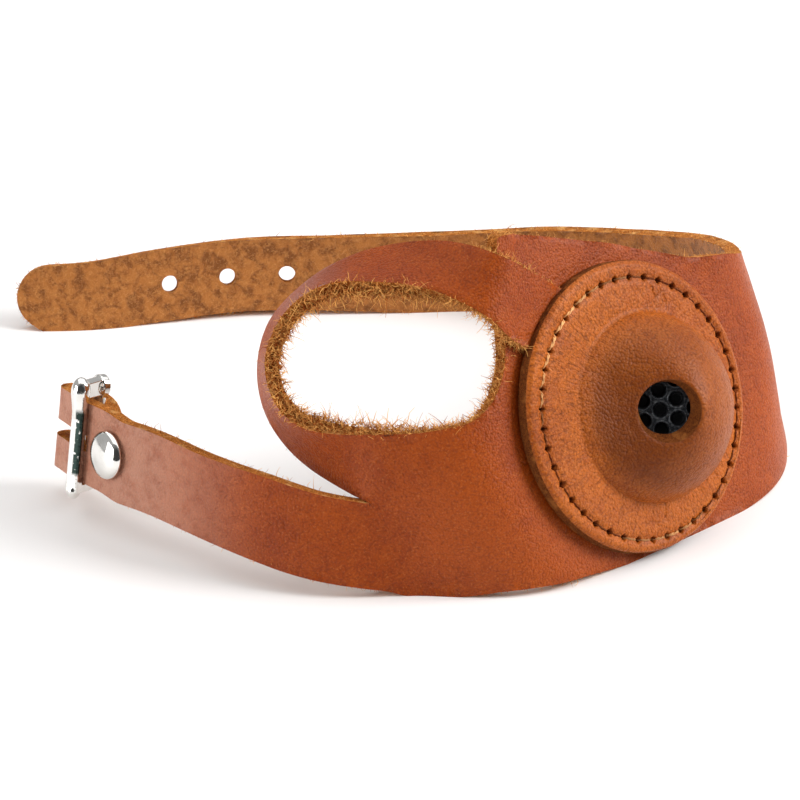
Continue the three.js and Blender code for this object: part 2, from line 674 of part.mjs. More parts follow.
// The prong: an eye round the heel bar, in the slot, and a straight pin on the inside of the fold
function bucklePinAndEye() {
  const ring = barAcross / 2 + clearance + prongAcross / 2;
  const eye = new THREE.TorusGeometry(ring, prongAcross / 2, 8, turnedSides).rotateX(Math.PI / 2);
  eye.translate(0, strapMiddle, 0);
  const pointing = new THREE.Vector3(Math.cos(rad(prongSteep)), 0, -Math.sin(rad(prongSteep)));
  const at = (along) => pointing.clone().multiplyScalar(along).setY(strapMiddle);
  return geometryOf(joined([eye, bar(at(ring), at(prongLong), prongAcross)])).applyMatrix4(bucklePlace);
}

const tan = { color: 0xb56a3c, roughness: 0.55, metalness: 0 };
const nickel = { color: 0xd8d8d6, roughness: 0.18, metalness: 1 };
const blackIron = { color: 0x26272a, roughness: 0.4, metalness: 0.9 };

const palm = new THREE.Group();
palm.add(named('palm_leather', palmLeather(), tan));
palm.add(named('shield', shieldWall(), tan));
palm.add(named('eye_iron', eyeIron(), blackIron));
palm.add(named('strap_rivet', strapRivet(), nickel));
palm.add(named('buckle_frame', buckleFrameMetal(), nickel));
palm.add(named('buckle_prong', bucklePinAndEye(), nickel));

// The origin is at the middle of the footprint, on the ground
const box = new THREE.Box3().setFromObject(palm);
palm.position.set(-(box.min.x + box.max.x) / 2, -(box.min.y + box.max.y) / 2, -box.min.z);
export default palm;
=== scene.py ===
from math import atan2, cos, degrees, dist, exp, hypot, pi, radians, sin, sqrt

import bmesh
import bpy
import numpy as np
from mathutils import Matrix, Quaternion, Vector, noise
from mathutils.bvhtree import BVHTree


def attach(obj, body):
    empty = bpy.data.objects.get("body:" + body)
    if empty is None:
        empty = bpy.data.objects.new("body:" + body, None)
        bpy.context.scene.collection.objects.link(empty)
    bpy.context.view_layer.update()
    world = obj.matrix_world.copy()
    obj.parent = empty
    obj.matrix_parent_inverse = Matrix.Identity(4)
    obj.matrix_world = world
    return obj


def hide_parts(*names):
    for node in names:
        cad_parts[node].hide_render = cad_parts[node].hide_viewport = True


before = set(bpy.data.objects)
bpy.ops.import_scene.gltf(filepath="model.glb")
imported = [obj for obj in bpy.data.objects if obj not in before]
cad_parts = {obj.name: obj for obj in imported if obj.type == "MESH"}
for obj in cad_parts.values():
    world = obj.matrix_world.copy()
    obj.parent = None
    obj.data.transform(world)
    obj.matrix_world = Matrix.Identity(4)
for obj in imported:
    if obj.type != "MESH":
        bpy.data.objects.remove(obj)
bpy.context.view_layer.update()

# Driving dimensions, in millimetres and degrees
ring_origin = Vector((1.8446, -32.7193, 0))
leather = 2.8
clearance = 0.35
shield_radius = 28
shield_thick = 3.2
dome_thick = 2.4
buckle_strap_wide = 16
hole_across = 3.6
hole_pitch = 12.4
first_hole = 33.4
hole_count = 5
bar_across = 2.5
rivet_cap_radius = 4.75
rivet_shank_radius = 1.5
slot_wide = 3.2
flattened = 0.6
edge_round = 0.4

# The strip of leather, a row for each ruling from its holed tip, round the hand, to the buckle: its foot's x,
# y and z, its lean, and how far up it are the slit, the hole's border and the top
STRIP = np.array([
    (-81.5, 85.5, 0, -19, 3.5, 7, 13.5),
    (-66, 86.5, 0, -19, 3.5, 7, 14),
    (-50.5, 90, 0.4, -18, 3.5, 7.5, 15),
    (-33, 93.5, 0.9, -15, 4, 7.5, 15.5),
    (-13, 94.5, 0.8, -10, 4, 8, 16),
    (7, 95.5, 0.3, -6, 4.5, 8.5, 17),
    (22, 96, 0, -4, 4.5, 9, 18),
    (37, 93, 0, -1, 5, 10, 20),
    (51, 86, 0, 3, 6, 11.5, 23),
    (62.5, 75, 0, 6, 7, 13.5, 27.5),
    (70.5, 61.5, 0.3, 11, 8, 16, 32.5),
    (75, 47, 0.5, 14, 9.5, 18.5, 37.5),
    (76.5, 33, 0.5, 14.5, 10.5, 21.5, 42),
    (75, 20.5, 0.3, 15, 12, 24, 47),
    (69.5, 8, 0, 17.5, 13.5, 28, 51),
    (60.5, -4, 0, 20, 15.5, 33, 56.5),
    (50, -13.5, 0, 22, 17.5, 37.5, 61),
    (39, -21.5, 0, 22, 19, 42, 64.5),
    (29, -27, 0, 20, 19, 46, 66.5),
    (21.5, -29, 0, 16.5, 19, 47.5, 67),
    (10.5, -31, 0, 13.5, 18, 48, 67.5),
    (1.5, -31.5, 0.3, 12.5, 17, 48, 67.5),
    (-8, -32, 1.8, 12, 16.5, 48, 67.5),
    (-18, -31, 3.5, 11.5, 16.5, 48, 67.5),
    (-28.5, -27, 5.5, 11.5, 16.5, 48, 67.5),
    (-38.5, -21, 7, 11.5, 16, 48, 67.5),
    (-47.5, -13.5, 7.5, 11.5, 16, 48, 67.5),
    (-54, -7.5, 7, 11.5, 16, 48, 67.5),
])
ROW_LENGTHS = [dist(row[:2], after[:2]) for row, after in zip(STRIP, STRIP[1:])]
palm_edge_row = 19
slit_end_row = 22
tip_radius = 6.7
under_hole = (33.6, 30)
hole_corner_long = 13
hole_corner_tall = 14

# Fibres to a millimetre of the thumb hole's border and of the other cut edges
hole_fibres = 36
edge_fibres = 5.5
border_longest = 1.8
mat_starts = 12
mat_spreads = 14
mat_deep = 1.3
stray_share = 0.006
stray_lengths = (0.8, 1.5)
frayed_corner = Vector((20, -12, 63))
frayed_reach = 9
under_shield = 12

# The thumb loop, a row for each line across the tongue, from the slit, over the thumb, to its pared end: the
# near edge's x, y and z, the far edge's, and how thick it is there
TONGUE = np.array([
    (-14.5, -23.5, 30.5, -17.5, -16.5, 20, 2.8),
    (-21, -21, 32.5, -25, -10.5, 27.5, 2.8),
    (-24, -18.5, 39, -26, -6, 36.5, 2.8),
    (-23, -17, 45, -23.5, -4.5, 43, 2.8),
    (-19.5, -16, 51, -19.5, -3, 47.5, 2.8),
    (-13.5, -14.5, 55, -13.5, -2.5, 52.5, 2.8),
    (-6.5, -14.5, 55.5, -6, -2, 56.5, 2.8),
    (2, -14.5, 55, 3, -4.5, 59.5, 2.8),
    (9, -15.5, 53, 11, -8.5, 61.5, 2.6),
    (16, -18.5, 51, 19, -14.5, 62, 2.2),
    (20.5, -20.5, 49, 26, -13.5, 59, 1.7),
    (25, -19.5, 46, 32, -8.5, 53, 1.2),
    (29, -16, 41.5, 37, -4.5, 47.5, 1.2),
])

# Waves and ripples in worn leather: how long and how high, and how far from the buckle they start
wave_long, wave_high = 19, 0.55
ripple_long, ripple_high = 6, 0.14
waves_start = (12, 30)

# How finely the leather is divided
slit_cells = 5
hole_cells = 5
top_cells = 9
station_step = 1.7

# The shield: its place, its moulded dome and the eye in it
shield_centre = Vector((45.5, -8.2, 27.7))
shield_turn = 43
shield_lean = 22.5
pressed_fully = 30
pressed_no_more = 52
near_shield = 25
dome_centre = Vector((3.0, -1.2, 0))
dome_radius = 18.4
eye_centre = Vector((-0.8, -1.2, 8.9))
eye_radius = 6.1
eye_inner_radius = 4.95
eye_off_centre = (0.9, -0.7)
eye_wall = 1.5
eye_tilt = 41
eye_tilt_towards = 166
iron_radius = 7
iron_foot_radius = 11.5
iron_foot_thick = 1.2
dimple_pitch = 3.8
dimple_radius = 1.42
dimple_depth = 1.5
dimples_off_centre = (1.7, -0.4)
pit_edge = 1.12
pit_wall = 0.42
pit_lip = 0.12
pit_lip_wide = 0.09
dome_cells = 26
hollow_cells = 8
flat_cells = 9

# The shield's rim, from its back, as radius and height, with its cut faces first; then the flange, as how far
# each ring of it is from the seam
RIM = [(28, -2.7), (28, -1.9), (28, -1.2), (27.85, -0.72), (27.55, -0.34), (27.15, -0.1), (26.8, 0)]
CUT_FACES = 3
FLANGE = (0.95, 0.78, 0.64, 0.5, 0.36, 0.22, 0.08, -0.08, -0.22, -0.38, -0.54, -0.72, -0.95, -1.25)

# Creases pressed into the shield: where round it, from and to which radius, how deep, and how far they sway
CREASES = [
    (62, 19.6, 25, 0.34, -2.5),
    (57, 19, 24.4, 0.42, 2),
    (53, 19.8, 23.4, 0.26, -1.6),
    (67, 20.2, 23.8, 0.2, 1.2),
    (48, 20.2, 23, 0.16, 1),
    (72, 20.6, 23.4, 0.14, -1),
    (-47, 20.9, 23.6, 0.2, 1.4),
    (-53, 20.7, 24, 0.28, -1.6),
    (-58, 20.8, 23.4, 0.18, 1.2),
    (-64, 20.5, 23.8, 0.26, -1.2),
    (-71, 20.6, 23.2, 0.16, 1),
    (-92, 20.2, 22.8, 0.36, 1),
]
crease_wide = 0.3

# The seam: stitches in a groove near the shield's rim
stitch_count = 42
seam_centre = Vector((0.6, -0.6, 0))
seam_radius = 25.1
groove_deep = 0.32
groove_wide = 0.8
awl_deep = 1.3
awl_wide = 0.95
ply_steps, ply_sides = 14, 6
ply_twist = 9

# The buckle: the foot of its heel bar, and the fold of strap round it
heel_foot = Vector((-60, 5.2, 5.9))
strap_ahead = Vector((-0.62, 0.765, -0.08))
buckle_lean = 11.5
fold_radius = 3.3
fold_beyond = 7.5
fold_tip_radius = 1.95
rivet_along = 11
folded_end = 15.4
front_bar = Vector((2.3, 0, 6.15))
bar_twist = 25
bar_wide = 2.6
bar_thick = 2.3
head_lift = 0.8
lug_radius = 2.3
# Where the painted dark reflection on the front bar starts and ends, along it
dark_reflection_from = -6.6
dark_reflection_to = 7.4
prong_steep = 40
prong_long = 10.5
prong_across = 1.4

# The fold's ply behind the heel bar: along the strap, out of the hand, and how much narrower at each edge
RETURN_PLY = [(-5, -2.25, 0.1), (-3, -2.7, 0.4), (-1.5, -2.85, 0.8), (0, -2.7, 1.3), (1.5, -2.2, 1.8)]
RETURN_PLY += [(3, -1.5, 2.2), (4.5, -0.8, 2.5), (6, -0.25, 2.7)]

UP = Vector((0, 0, 1))
half = leather / 2
palm_depth = -(shield_thick + clearance + half)
fold_inner = fold_radius - leather - 0.5
strap_middle = buckle_strap_wide / 2
draw = np.random.default_rng(5222)


# Rows of the tables, read on smooth curves
def smooth_row(rows, at):
    last = len(rows) - 1
    i = min(int(at), last - 1)
    f = at - i
    before = rows[i - 1] if i else 2 * rows[0] - rows[1]
    after = rows[i + 2] if i + 2 <= last else 2 * rows[last] - rows[last - 1]
    here, there = rows[i], rows[i + 1]
    bend = 2 * before - 5 * here + 4 * there - after + (3 * here - before - 3 * there + after) * f
    return here + 0.5 * f * (there - before + f * bend)


# The direction up a ruling that leans towards inward and stays square to the strip
def leaning(ahead, inward, lean):
    lean = radians(lean)
    rise = UP * cos(lean) + inward * sin(lean)
    return (rise - ahead * rise.dot(ahead)).normalized()


class Ruling:
    """A straight line up the strip at one place along the table."""

    def __init__(self, at):
        step = 0.02
        ends = smooth_row(STRIP, min(at + step, len(STRIP) - 1)), smooth_row(STRIP, max(at - step, 0))
        self.ahead = Vector((ends[0] - ends[1])[:3]).normalized()
        inward = Vector((self.ahead.y, -self.ahead.x, 0)).normalized()
        x, y, z, lean, self.slit, self.hole, self.top = smooth_row(STRIP, at)
        self.foot = Vector((x, y, z))
        self.rise = leaning(self.ahead, inward, lean)

    def rungs(self):
        cuts = (0, self.slit, self.hole, self.top)
        stretches = zip(cuts, cuts[1:], (slit_cells, hole_cells, top_cells))
        return [low + (high - low) * k / n for low, high, n in stretches for k in range(n)] + [self.top]

    def points(self, heights):
        return [pressed(self.foot + self.rise * up, palm_depth) for up in heights]


def ruled(stations, rungs=None):
    """Columns of points up the rulings at these places along the table."""
    rulings = [Ruling(at) for at in stations]
    return [ruling.points(ruling.rungs()[:rungs]) for ruling in rulings]


def place_key(point):
    return tuple(round(c, 3) for c in point)


def spoke(azimuth):
    return Vector((cos(azimuth), sin(azimuth), 0))


def wheel(radial, angle):
    """The direction so far round from radial towards up."""
    return radial * cos(angle) + UP * sin(angle)


def placed(basis_x, basis_y, basis_z, origin):
    turned = Matrix((basis_x, basis_y, basis_z)).transposed().to_4x4()
    return Matrix.Translation(origin) @ turned


def shield_frame():
    turn, lean = radians(shield_turn), radians(shield_lean)
    level = spoke(turn)
    out = Vector((sin(turn), -cos(turn), 0)) * cos(lean) + UP * sin(lean)
    return placed(level, out.cross(level), out, shield_centre)


def buckle_frame():
    to_palm = -strap_ahead.normalized()
    inward = Vector((-to_palm.y, to_palm.x, 0)).normalized()
    rise = leaning(to_palm, inward, buckle_lean)
    return placed(to_palm, rise, to_palm.cross(rise), heel_foot)


shield_place = shield_frame()
shield_back = shield_place.inverted()
buckle_place = buckle_frame()


def smooth_between(value, low, high):
    share = min(max((value - low) / (high - low), 0), 1)
    return share * share * (3 - 2 * share)


def off_shield(local):
    """1 well away from the shield and 0 close by, for a place in the shield's frame."""
    return smooth_between(hypot(local.x, local.y), pressed_fully, pressed_no_more)


# The leather lies flat under the stiff shield: a point near it moves to its depth behind the shield's face
def pressed(point, depth):
    local = shield_back @ point
    loose = off_shield(local)
    if abs(local.z) < near_shield:
        local.z += (depth - local.z) * (1 - loose)
    return shield_place @ local


def between(start, end, cells, crowd=1):
    return [start + (end - start) * (k / cells) ** crowd for k in range(cells + 1)]


# Making meshes; the sheet of leather is weighted for how thick it is and how much its border frays
THICK, FUZZ = 0, 1
GROUPS = ("thick", "fuzz")


def patch(bm, columns, paint=None):
    """A grid of faces through columns of points; paint is each row's material."""
    across, up = len(columns) - 1, len(columns[0]) - 1
    corners = bmesh.ops.create_grid(bm, x_segments=across, y_segments=up, size=1)["verts"]
    rows = {}
    for corner in corners:
        i = round((corner.co.x + 1) * across / 2)
        j = round((corner.co.y + 1) * up / 2)
        rows[corner] = j
        corner.co = columns[i][j]
    if paint:
        for face in {face for corner in corners for face in corner.link_faces}:
            face.material_index = paint[min(rows[corner] for corner in face.verts)]
    return corners


def closed(bm, merge=0.002):
    bmesh.ops.remove_doubles(bm, verts=bm.verts, dist=merge)
    bmesh.ops.recalc_face_normals(bm, faces=bm.faces)


def as_mesh(bm):
    mesh = bpy.data.meshes.new("shape")
    bm.to_mesh(mesh)
    bm.free()
    return mesh


def linked(name, data):
    thing = bpy.data.objects.new(name, data)
    bpy.context.scene.collection.objects.link(thing)
    return thing


def shaped(mesh, *steps, groups=()):
    """The mesh as these modifiers leave it, each given as its type and settings."""
    thing = linked("shaping", mesh)
    for group in groups:
        if group not in thing.vertex_groups:
            thing.vertex_groups.new(name=group)
    for kind, settings in steps:
        modifier = thing.modifiers.new(kind, kind)
        for key, value in settings.items():
            setattr(modifier, key, value)
    seen = thing.evaluated_get(bpy.context.evaluated_depsgraph_get())
    result = bpy.data.meshes.new_from_object(seen)
    bpy.data.objects.remove(thing)
    return result


def cylinder(bm, start, end, radius, segments=32, end_radius=None):
    along = end - start
    turn = UP.rotation_difference(along).to_matrix().to_4x4()
    matrix = Matrix.Translation((start + end) / 2) @ turn
    top = radius if end_radius is None else end_radius
    bmesh.ops.create_cone(
        bm, cap_ends=True, segments=segments, radius1=radius, radius2=top, depth=along.length, matrix=matrix
    )


def block(bm, centre, size, round_edges, place):
    """Adds a block that is made about its centre and then brought to its place."""
    part = bmesh.new()
    bmesh.ops.create_cube(part, size=1, matrix=Matrix.Translation(centre) @ Matrix.Diagonal((*size, 1)))
    if round_edges:
        soften = {"segments": 3, "profile": 0.5, "affect": "EDGES", "material": -1}
        bmesh.ops.bevel(part, geom=part.edges[:], offset=round_edges, **soften)
    part.transform(place)
    bm.from_mesh(as_mesh(part))


def ball(bm, centre, radii):
    matrix = Matrix.Translation(centre) @ Matrix.Diagonal((*radii, 1))
    bmesh.ops.create_uvsphere(bm, u_segments=24, v_segments=16, radius=1, matrix=matrix)


def piece(name, mesh, finishes, stands_for=()):
    """Brings a mesh into the frame as a piece that rides on the palm."""
    mesh.transform(Matrix.Scale(0.001, 4) @ Matrix.Translation(ring_origin))
    mesh.polygons.foreach_set("use_smooth", [True] * len(mesh.polygons))
    while len(mesh.materials) < len(finishes):
        mesh.materials.append(None)
    for index, finish in enumerate(finishes):
        mesh.materials[index] = finish
    mesh.name = name
    made = linked(name, mesh)
    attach(made, "root")
    if stands_for:
        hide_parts(*stands_for)


# Finishes: shader maths as Python expressions
class Shade:
    """A value in a tree of nodes that arithmetic works on."""

    def __init__(self, nodes, socket):
        self.nodes = nodes
        self.socket = socket

    def __add__(self, other):
        return self.nodes.maths("ADD", self, other)

    def __sub__(self, other):
        return self.nodes.maths("SUBTRACT", self, other)

    def __rsub__(self, other):
        return self.nodes.maths("SUBTRACT", other, self)

    def __mul__(self, other):
        return self.nodes.maths("MULTIPLY", self, other)

    __radd__ = __add__
    __rmul__ = __mul__


class Nodes:
    """A node tree that expressions add to."""

    def __init__(self, tree):
        self.tree = tree

    def add(self, kind, settings=(), values=(), out=0):
        node = self.tree.nodes.new("ShaderNode" + kind)
        for key, value in dict(settings).items():
            setattr(node, key, value)
        for key, value in dict(values).items():
            if isinstance(value, Shade):
                self.tree.links.new(value.socket, node.inputs[key])
            else:
                node.inputs[key].default_value = value
        return Shade(self, node.outputs[out])

    def maths(self, operation, first, second):
        return self.add("Math", {"operation": operation}, {0: first, 1: second})


class Finish(Nodes):
    """A material whose surface is one Principled shader."""

    def __init__(self, name, **uniform):
        self.material = bpy.data.materials.new(name)
        self.material.use_nodes = True
        super().__init__(self.material.node_tree)
        self.surface = self.tree.nodes["Principled BSDF"]
        for key, value in uniform.items():
            self.surface.inputs[key.replace("_", " ")].default_value = value
        self.place = self.add("TexCoord", out="Object")

    def noise(self, size, detail=2, roughness=0.5, place=None, distortion=0.0):
        """Cloudy noise with patches about so many millimetres across."""
        values = {"Vector": place or self.place, "Scale": 1000 / size, "Detail": detail}
        values.update({"Roughness": roughness, "Distortion": distortion})
        return self.add("TexNoise", {}, values)

    def cells(self, size):
        return self.add("TexVoronoi", {}, {"Vector": self.place, "Scale": 1000 / size}, "Distance")

    def ramped(self, value, low, high, to_low=0.0, to_high=1.0):
        values = {"Value": value, "From Min": low, "From Max": high, "To Min": to_low, "To Max": to_high}
        return self.add("MapRange", {"interpolation_type": "SMOOTHSTEP"}, values)

    def mix(self, share, first, second):
        values = {0: share, 6: first, 7: second}
        return self.add("Mix", {"data_type": "RGBA"}, values, 2)

    def attribute(self, name, out="Fac"):
        return self.add("Attribute", {"attribute_name": name}, out=out)

    def bump(self, height, distance, over=None):
        """Raises height by so many millimetres."""
        values = {"Height": height, "Distance": distance / 1000}
        if over:
            values["Normal"] = over
        return self.add("Bump", {}, values, "Normal")

    def feed(self, colour, roughness=None, normal=None):
        for key, value in {"Base Color": colour, "Roughness": roughness, "Normal": normal}.items():
            if value:
                self.tree.links.new(value.socket, self.surface.inputs[key])
        return self.material


def tint(red, green, blue):
    """A colour given as it looks, 0 to 255, as the linear one that shaders take."""
    return (*[((c / 255 + 0.055) / 1.055) ** 2.4 for c in (red, green, blue)], 1)


def grain_leather(name, dark, deep, warm, pale_speck, pebble, moulded=False):
    """The smooth outside: oiled tan, cloudy, with fine pebbles; fine radial wrinkles where moulded. Painted
    shade darkens the furrows, creases, awl holes and the dome's left side, and a painted sheen pales the
    leather's left end.
    """
    finish = Finish(name, Specular_IOR_Level=0.18, Coat_Roughness=0.3, Coat_Weight=0.07)
    cloud = finish.noise(24, detail=4, roughness=0.6)
    mottle = finish.noise(2.6, detail=4, roughness=0.65)
    colour = finish.mix(finish.ramped(cloud * 0.65 + mottle * 0.35, 0.36, 0.64), deep, warm)
    cell = finish.cells(pebble)
    furrow = finish.ramped(cell, 0.35, 0.8)
    crumb = finish.noise(pebble * 0.9, detail=3, roughness=0.6)
    # Painted shade: the furrows between the pebbles are painted darker. Raised crumbs of the grain are
    # painted paler, low ones darker.
    colour = finish.mix(furrow * 0.32, colour, dark)
    colour = finish.mix(finish.ramped(crumb, 0.52, 0.74) * 0.42, colour, pale_speck)
    colour = finish.mix(finish.ramped(crumb, 0.46, 0.28) * 0.35, colour, dark)
    # Painted sheen: towards the left end of the palm's leather the colour turns a pale mauve, patchy with the
    # mottle, where a reflection's haze would be.
    along = finish.add("SeparateXYZ", {}, {0: finish.place}, "X")
    painted_sheen = finish.ramped(along, -0.022, -0.052) * finish.ramped(mottle, 0.25, 0.6, 0.35, 0.65)
    colour = finish.mix(painted_sheen, colour, tint(194, 148, 126))
    roughness = 0.34 + 0.16 * mottle + 0.12 * furrow
    slow = finish.noise(6, detail=4, roughness=0.6, distortion=0.6)
    normal = finish.bump(slow, 0.45)
    normal = finish.bump(crumb * 0.6 - cell * cell, 0.15, over=normal)
    if moulded:
        polar = finish.attribute("polar", "Vector")
        lines = finish.noise(0.7, detail=3, roughness=0.6, place=polar, distortion=0.4)
        strong = finish.attribute("wrinkled")
        # Painted shade in the creases: the wrinkle lines are painted darker as well as bumped.
        colour = finish.mix(finish.ramped(lines, 0.48, 0.32) * strong * 0.5, colour, dark)
        # The dome is painted darker: its burnish all over, and painted shade strongest on its left side.
        colour = finish.mix(finish.attribute("domed") * 0.75, colour, dark)
        normal = finish.bump(lines * strong, 0.4, over=normal)
        # Painted shade in the awl holes: where pricked, the colour goes near black.
        colour = finish.mix(finish.attribute("pricked"), colour, tint(38, 14, 8))
    return finish.feed(colour, roughness, normal)


def suede(name, dark, middle, light):
    """The fleshy inside: matt, napped, mottled in small soft patches."""
    finish = Finish(name, Specular_IOR_Level=0.15, Sheen_Weight=0.25, Sheen_Roughness=0.5)
    patches = finish.noise(2.6, detail=4, roughness=0.6, distortion=0.5)
    colour = finish.mix(finish.ramped(patches, 0.34, 0.6), dark, middle)
    nap = finish.noise(0.7, detail=5, roughness=0.7, distortion=1.2)
    colour = finish.mix(finish.ramped(nap, 0.45, 0.72) * 0.55, colour, light)
    colour = finish.mix(finish.ramped(nap, 0.44, 0.3) * 0.5, colour, dark)
    normal = finish.bump(patches, 0.4)
    normal = finish.bump(nap, 0.3, over=normal)
    roughness = 0.85 + 0.12 * nap
    return finish.feed(colour, roughness, normal)


def cut_edge(name, dark, middle, light):
    """Leather where the knife went through it: layers of torn fibre."""
    finish = Finish(name, Specular_IOR_Level=0.1)
    torn = finish.noise(0.5, detail=6, roughness=0.75, distortion=1.5)
    clumps = finish.noise(2.2, detail=3)
    colour = finish.mix(finish.ramped(torn, 0.38, 0.6), dark, middle)
    colour = finish.mix(finish.ramped(clumps, 0.5, 0.75) * 0.6, colour, light)
    normal = finish.bump(torn, 0.55)
    roughness = 0.8 + 0.15 * torn
    return finish.feed(colour, roughness, normal)


def strand(name, dark, light, rough=0.7):
    """Fibres and thread, each strand in its own tone, which also carries painted shade and painted
    highlights.
    """
    finish = Finish(name, Specular_IOR_Level=0.1)
    tone = finish.attribute("tone")
    fuzz = finish.noise(0.3, detail=2)
    colour = finish.mix(finish.ramped(tone + fuzz * 0.2, 0.1, 1.1), dark, light)
    roughness = rough + 0.2 * fuzz
    return finish.feed(colour, roughness)


def plated(name, colour, tarnish):
    """Polished nickel plate with faint handling marks, and a painted dark reflection, broken by pale specks,
    where marked.
    """
    finish = Finish(name, Metallic=1.0)
    haze = finish.ramped(finish.noise(2.5, detail=4), 0.4, 0.7)
    drawn_out = finish.add("Mapping", {}, {"Vector": finish.place, "Scale": (0.2, 1, 1)})
    marks = finish.noise(0.5, detail=3, place=drawn_out)
    shown = finish.mix(haze * 0.25, colour, tarnish)
    specks = finish.ramped(finish.noise(0.9, detail=3), 0.6, 0.66)
    # Painted dark reflection: a dark green-grey stripe, rougher, where the bar's face turns towards the palm.
    dark_reflection = finish.attribute("painted_dark_reflection") * (1 - specks)
    shown = finish.mix(dark_reflection, shown, tint(50, 62, 58))
    normal = finish.bump(marks, 0.01)
    return finish.feed(shown, 0.07 + 0.12 * haze + 0.15 * dark_reflection, normal)


def blackened(name):
    """Blackened iron: glossy on the webs, with painted shade, near black, in the pits."""
    finish = Finish(name, Metallic=0.6)
    grit = finish.noise(0.6, detail=4)
    colour = finish.mix(finish.ramped(grit, 0.45, 0.75), tint(44, 46, 50), tint(96, 98, 100))
    # Painted shade: the pits are painted near black and made rougher.
    pits = finish.attribute("pit_shade")
    colour = finish.mix(pits, colour, tint(14, 14, 16))
    normal = finish.bump(finish.noise(0.25, detail=2), 0.02)
    roughness = 0.2 + 0.16 * grit + 0.2 * pits
    return finish.feed(colour, roughness, normal)


# Tints in order: dark, which also serves as painted shade; deep; warm; and the pale of the raised crumbs.
tan_tints = tint(92, 34, 2), tint(140, 54, 2), tint(166, 72, 8), tint(196, 112, 52)
tan_grain = grain_leather("tan_grain", *tan_tints, 0.44)
tan_suede = suede("tan_suede", tint(120, 68, 26), tint(172, 106, 48), tint(212, 148, 84))
tan_cut = cut_edge("tan_cut", tint(146, 76, 28), tint(226, 142, 64), tint(255, 204, 130))
shield_tints = tint(80, 32, 2), tint(156, 72, 6), tint(186, 96, 22), tint(212, 132, 66)
shield_grain = grain_leather("shield_grain", *shield_tints, 0.5, moulded=True)
# The shield's rim takes a darker copy of the cut-edge finish: painted shade.
shaded_shield_cut = cut_edge("shaded_shield_cut", tint(84, 40, 12), tint(136, 74, 30), tint(176, 108, 52))
fibre_gold = strand("fibre_gold", tint(152, 66, 12), tint(255, 192, 108))
waxed_thread = strand("waxed_thread", tint(96, 38, 8), tint(234, 176, 116), 0.6)
nickel_plate = plated("nickel_plate", tint(236, 234, 230), tint(200, 196, 188))
black_iron = blackened("black_iron")


# The palm's leather
def leather_sheet():
    """The surface half way through the leather, in four patches that share their borders."""
    bm = bmesh.new()
    weights = bm.verts.layers.deform.verify()

    def add(columns, thickness=None, fuzzy=None):
        for corner in patch(bm, columns):
            corner[weights][THICK] = 1.0
            corner[weights][FUZZ] = 0.0
        spots = {}
        for i, column in enumerate(columns):
            spots.update({place_key(point): (i, j) for j, point in enumerate(column)})
        for corner in bm.verts:
            i, j = spots.get(place_key(corner.co), (None, None))
            if thickness and i is not None:
                corner[weights][THICK] = thickness[i] / leather
            if fuzzy is not None and j == fuzzy:
                corner[weights][FUZZ] = 1.0

    # From the round tip to the palm's edge
    tip_length = ROW_LENGTHS[0]
    columns = []
    for angle in (5, 12, 19, 27, 35, 44, 54, 65, 77):
        ruling = Ruling(tip_radius * (1 - cos(radians(angle))) / tip_length)
        share = sin(radians(angle))
        middle = ruling.top / 2
        columns.append(ruling.points([middle + (up - middle) * share for up in ruling.rungs()]))
    stations = between(tip_radius / tip_length, 1, 5)
    for row in range(1, palm_edge_row):
        stations += between(row, row + 1, round(ROW_LENGTHS[row] / station_step))[1:]
    columns += ruled(stations)
    add(columns)

    # Below the thumb hole, whose border rounds up into the palm's edge
    below = slit_cells + hole_cells + 1
    columns = [columns[-1][:below]]
    edge_x = STRIP[palm_edge_row][0]
    end_x = STRIP[slit_end_row][0]
    for at in between(palm_edge_row, slit_end_row, 26, 1.5)[1:]:
        ruling = Ruling(at)
        beyond = edge_x - ruling.foot.x
        passed = min(beyond / hole_corner_long, 1)
        corner = hole_corner_tall * (1 - sqrt(1 - (1 - passed) ** 2))
        share = beyond / (edge_x - end_x)
        ruling.hole = under_hole[0] + (under_hole[1] - under_hole[0]) * share + corner
        columns.append(ruling.points(ruling.rungs()[:below]))
    add(columns, fuzzy=below - 1)
    last = columns[-1]

    # The buckle strap, and its fold round the heel bar
    cells = round(sum(ROW_LENGTHS[slit_end_row:]) / station_step)
    stations = between(slit_end_row, len(STRIP) - 1, cells)[1:]
    columns = [last[: slit_cells + 1]] + ruled(stations, slit_cells + 1)
    rise = buckle_place.col[1].to_3d()
    for along, out, narrower in fold_section():
        foot = buckle_place @ Vector((along, 0, out))
        heights = between(narrower, buckle_strap_wide - narrower, slit_cells)
        columns.append([foot + rise * up for up in heights])
    add(columns)

    # The tongue over the thumb
    root = last[slit_cells:]
    start = np.array([*root[-1], *root[0], leather])
    rows = np.vstack([start, TONGUE])
    columns, thickness = [root], [leather]
    for at in between(0, len(TONGUE), 5 * len(TONGUE))[1:]:
        row = smooth_row(rows, at)
        near, far, thick = Vector(row[:3]), Vector(row[3:6]), row[6]
        depth = palm_depth + half + clearance + thick / 2
        columns.append([pressed(far.lerp(near, k / hole_cells), depth) for k in range(hole_cells + 1)])
        thickness.append(thick)
    for _ in range(6):
        eased = [
            [(one + there * 2 + other) / 4 for one, there, other in zip(before, here, after)]
            for before, here, after in zip(columns, columns[1:], columns[2:])
        ]
        columns = [columns[0], columns[1], *eased[1:], columns[-1]]
    add(columns, thickness, fuzzy=hole_cells)
    bmesh.ops.remove_doubles(bm, verts=bm.verts, dist=0.01)
    bmesh.ops.reverse_faces(bm, faces=bm.faces)
    buckled(bm)
    return as_mesh(bm)


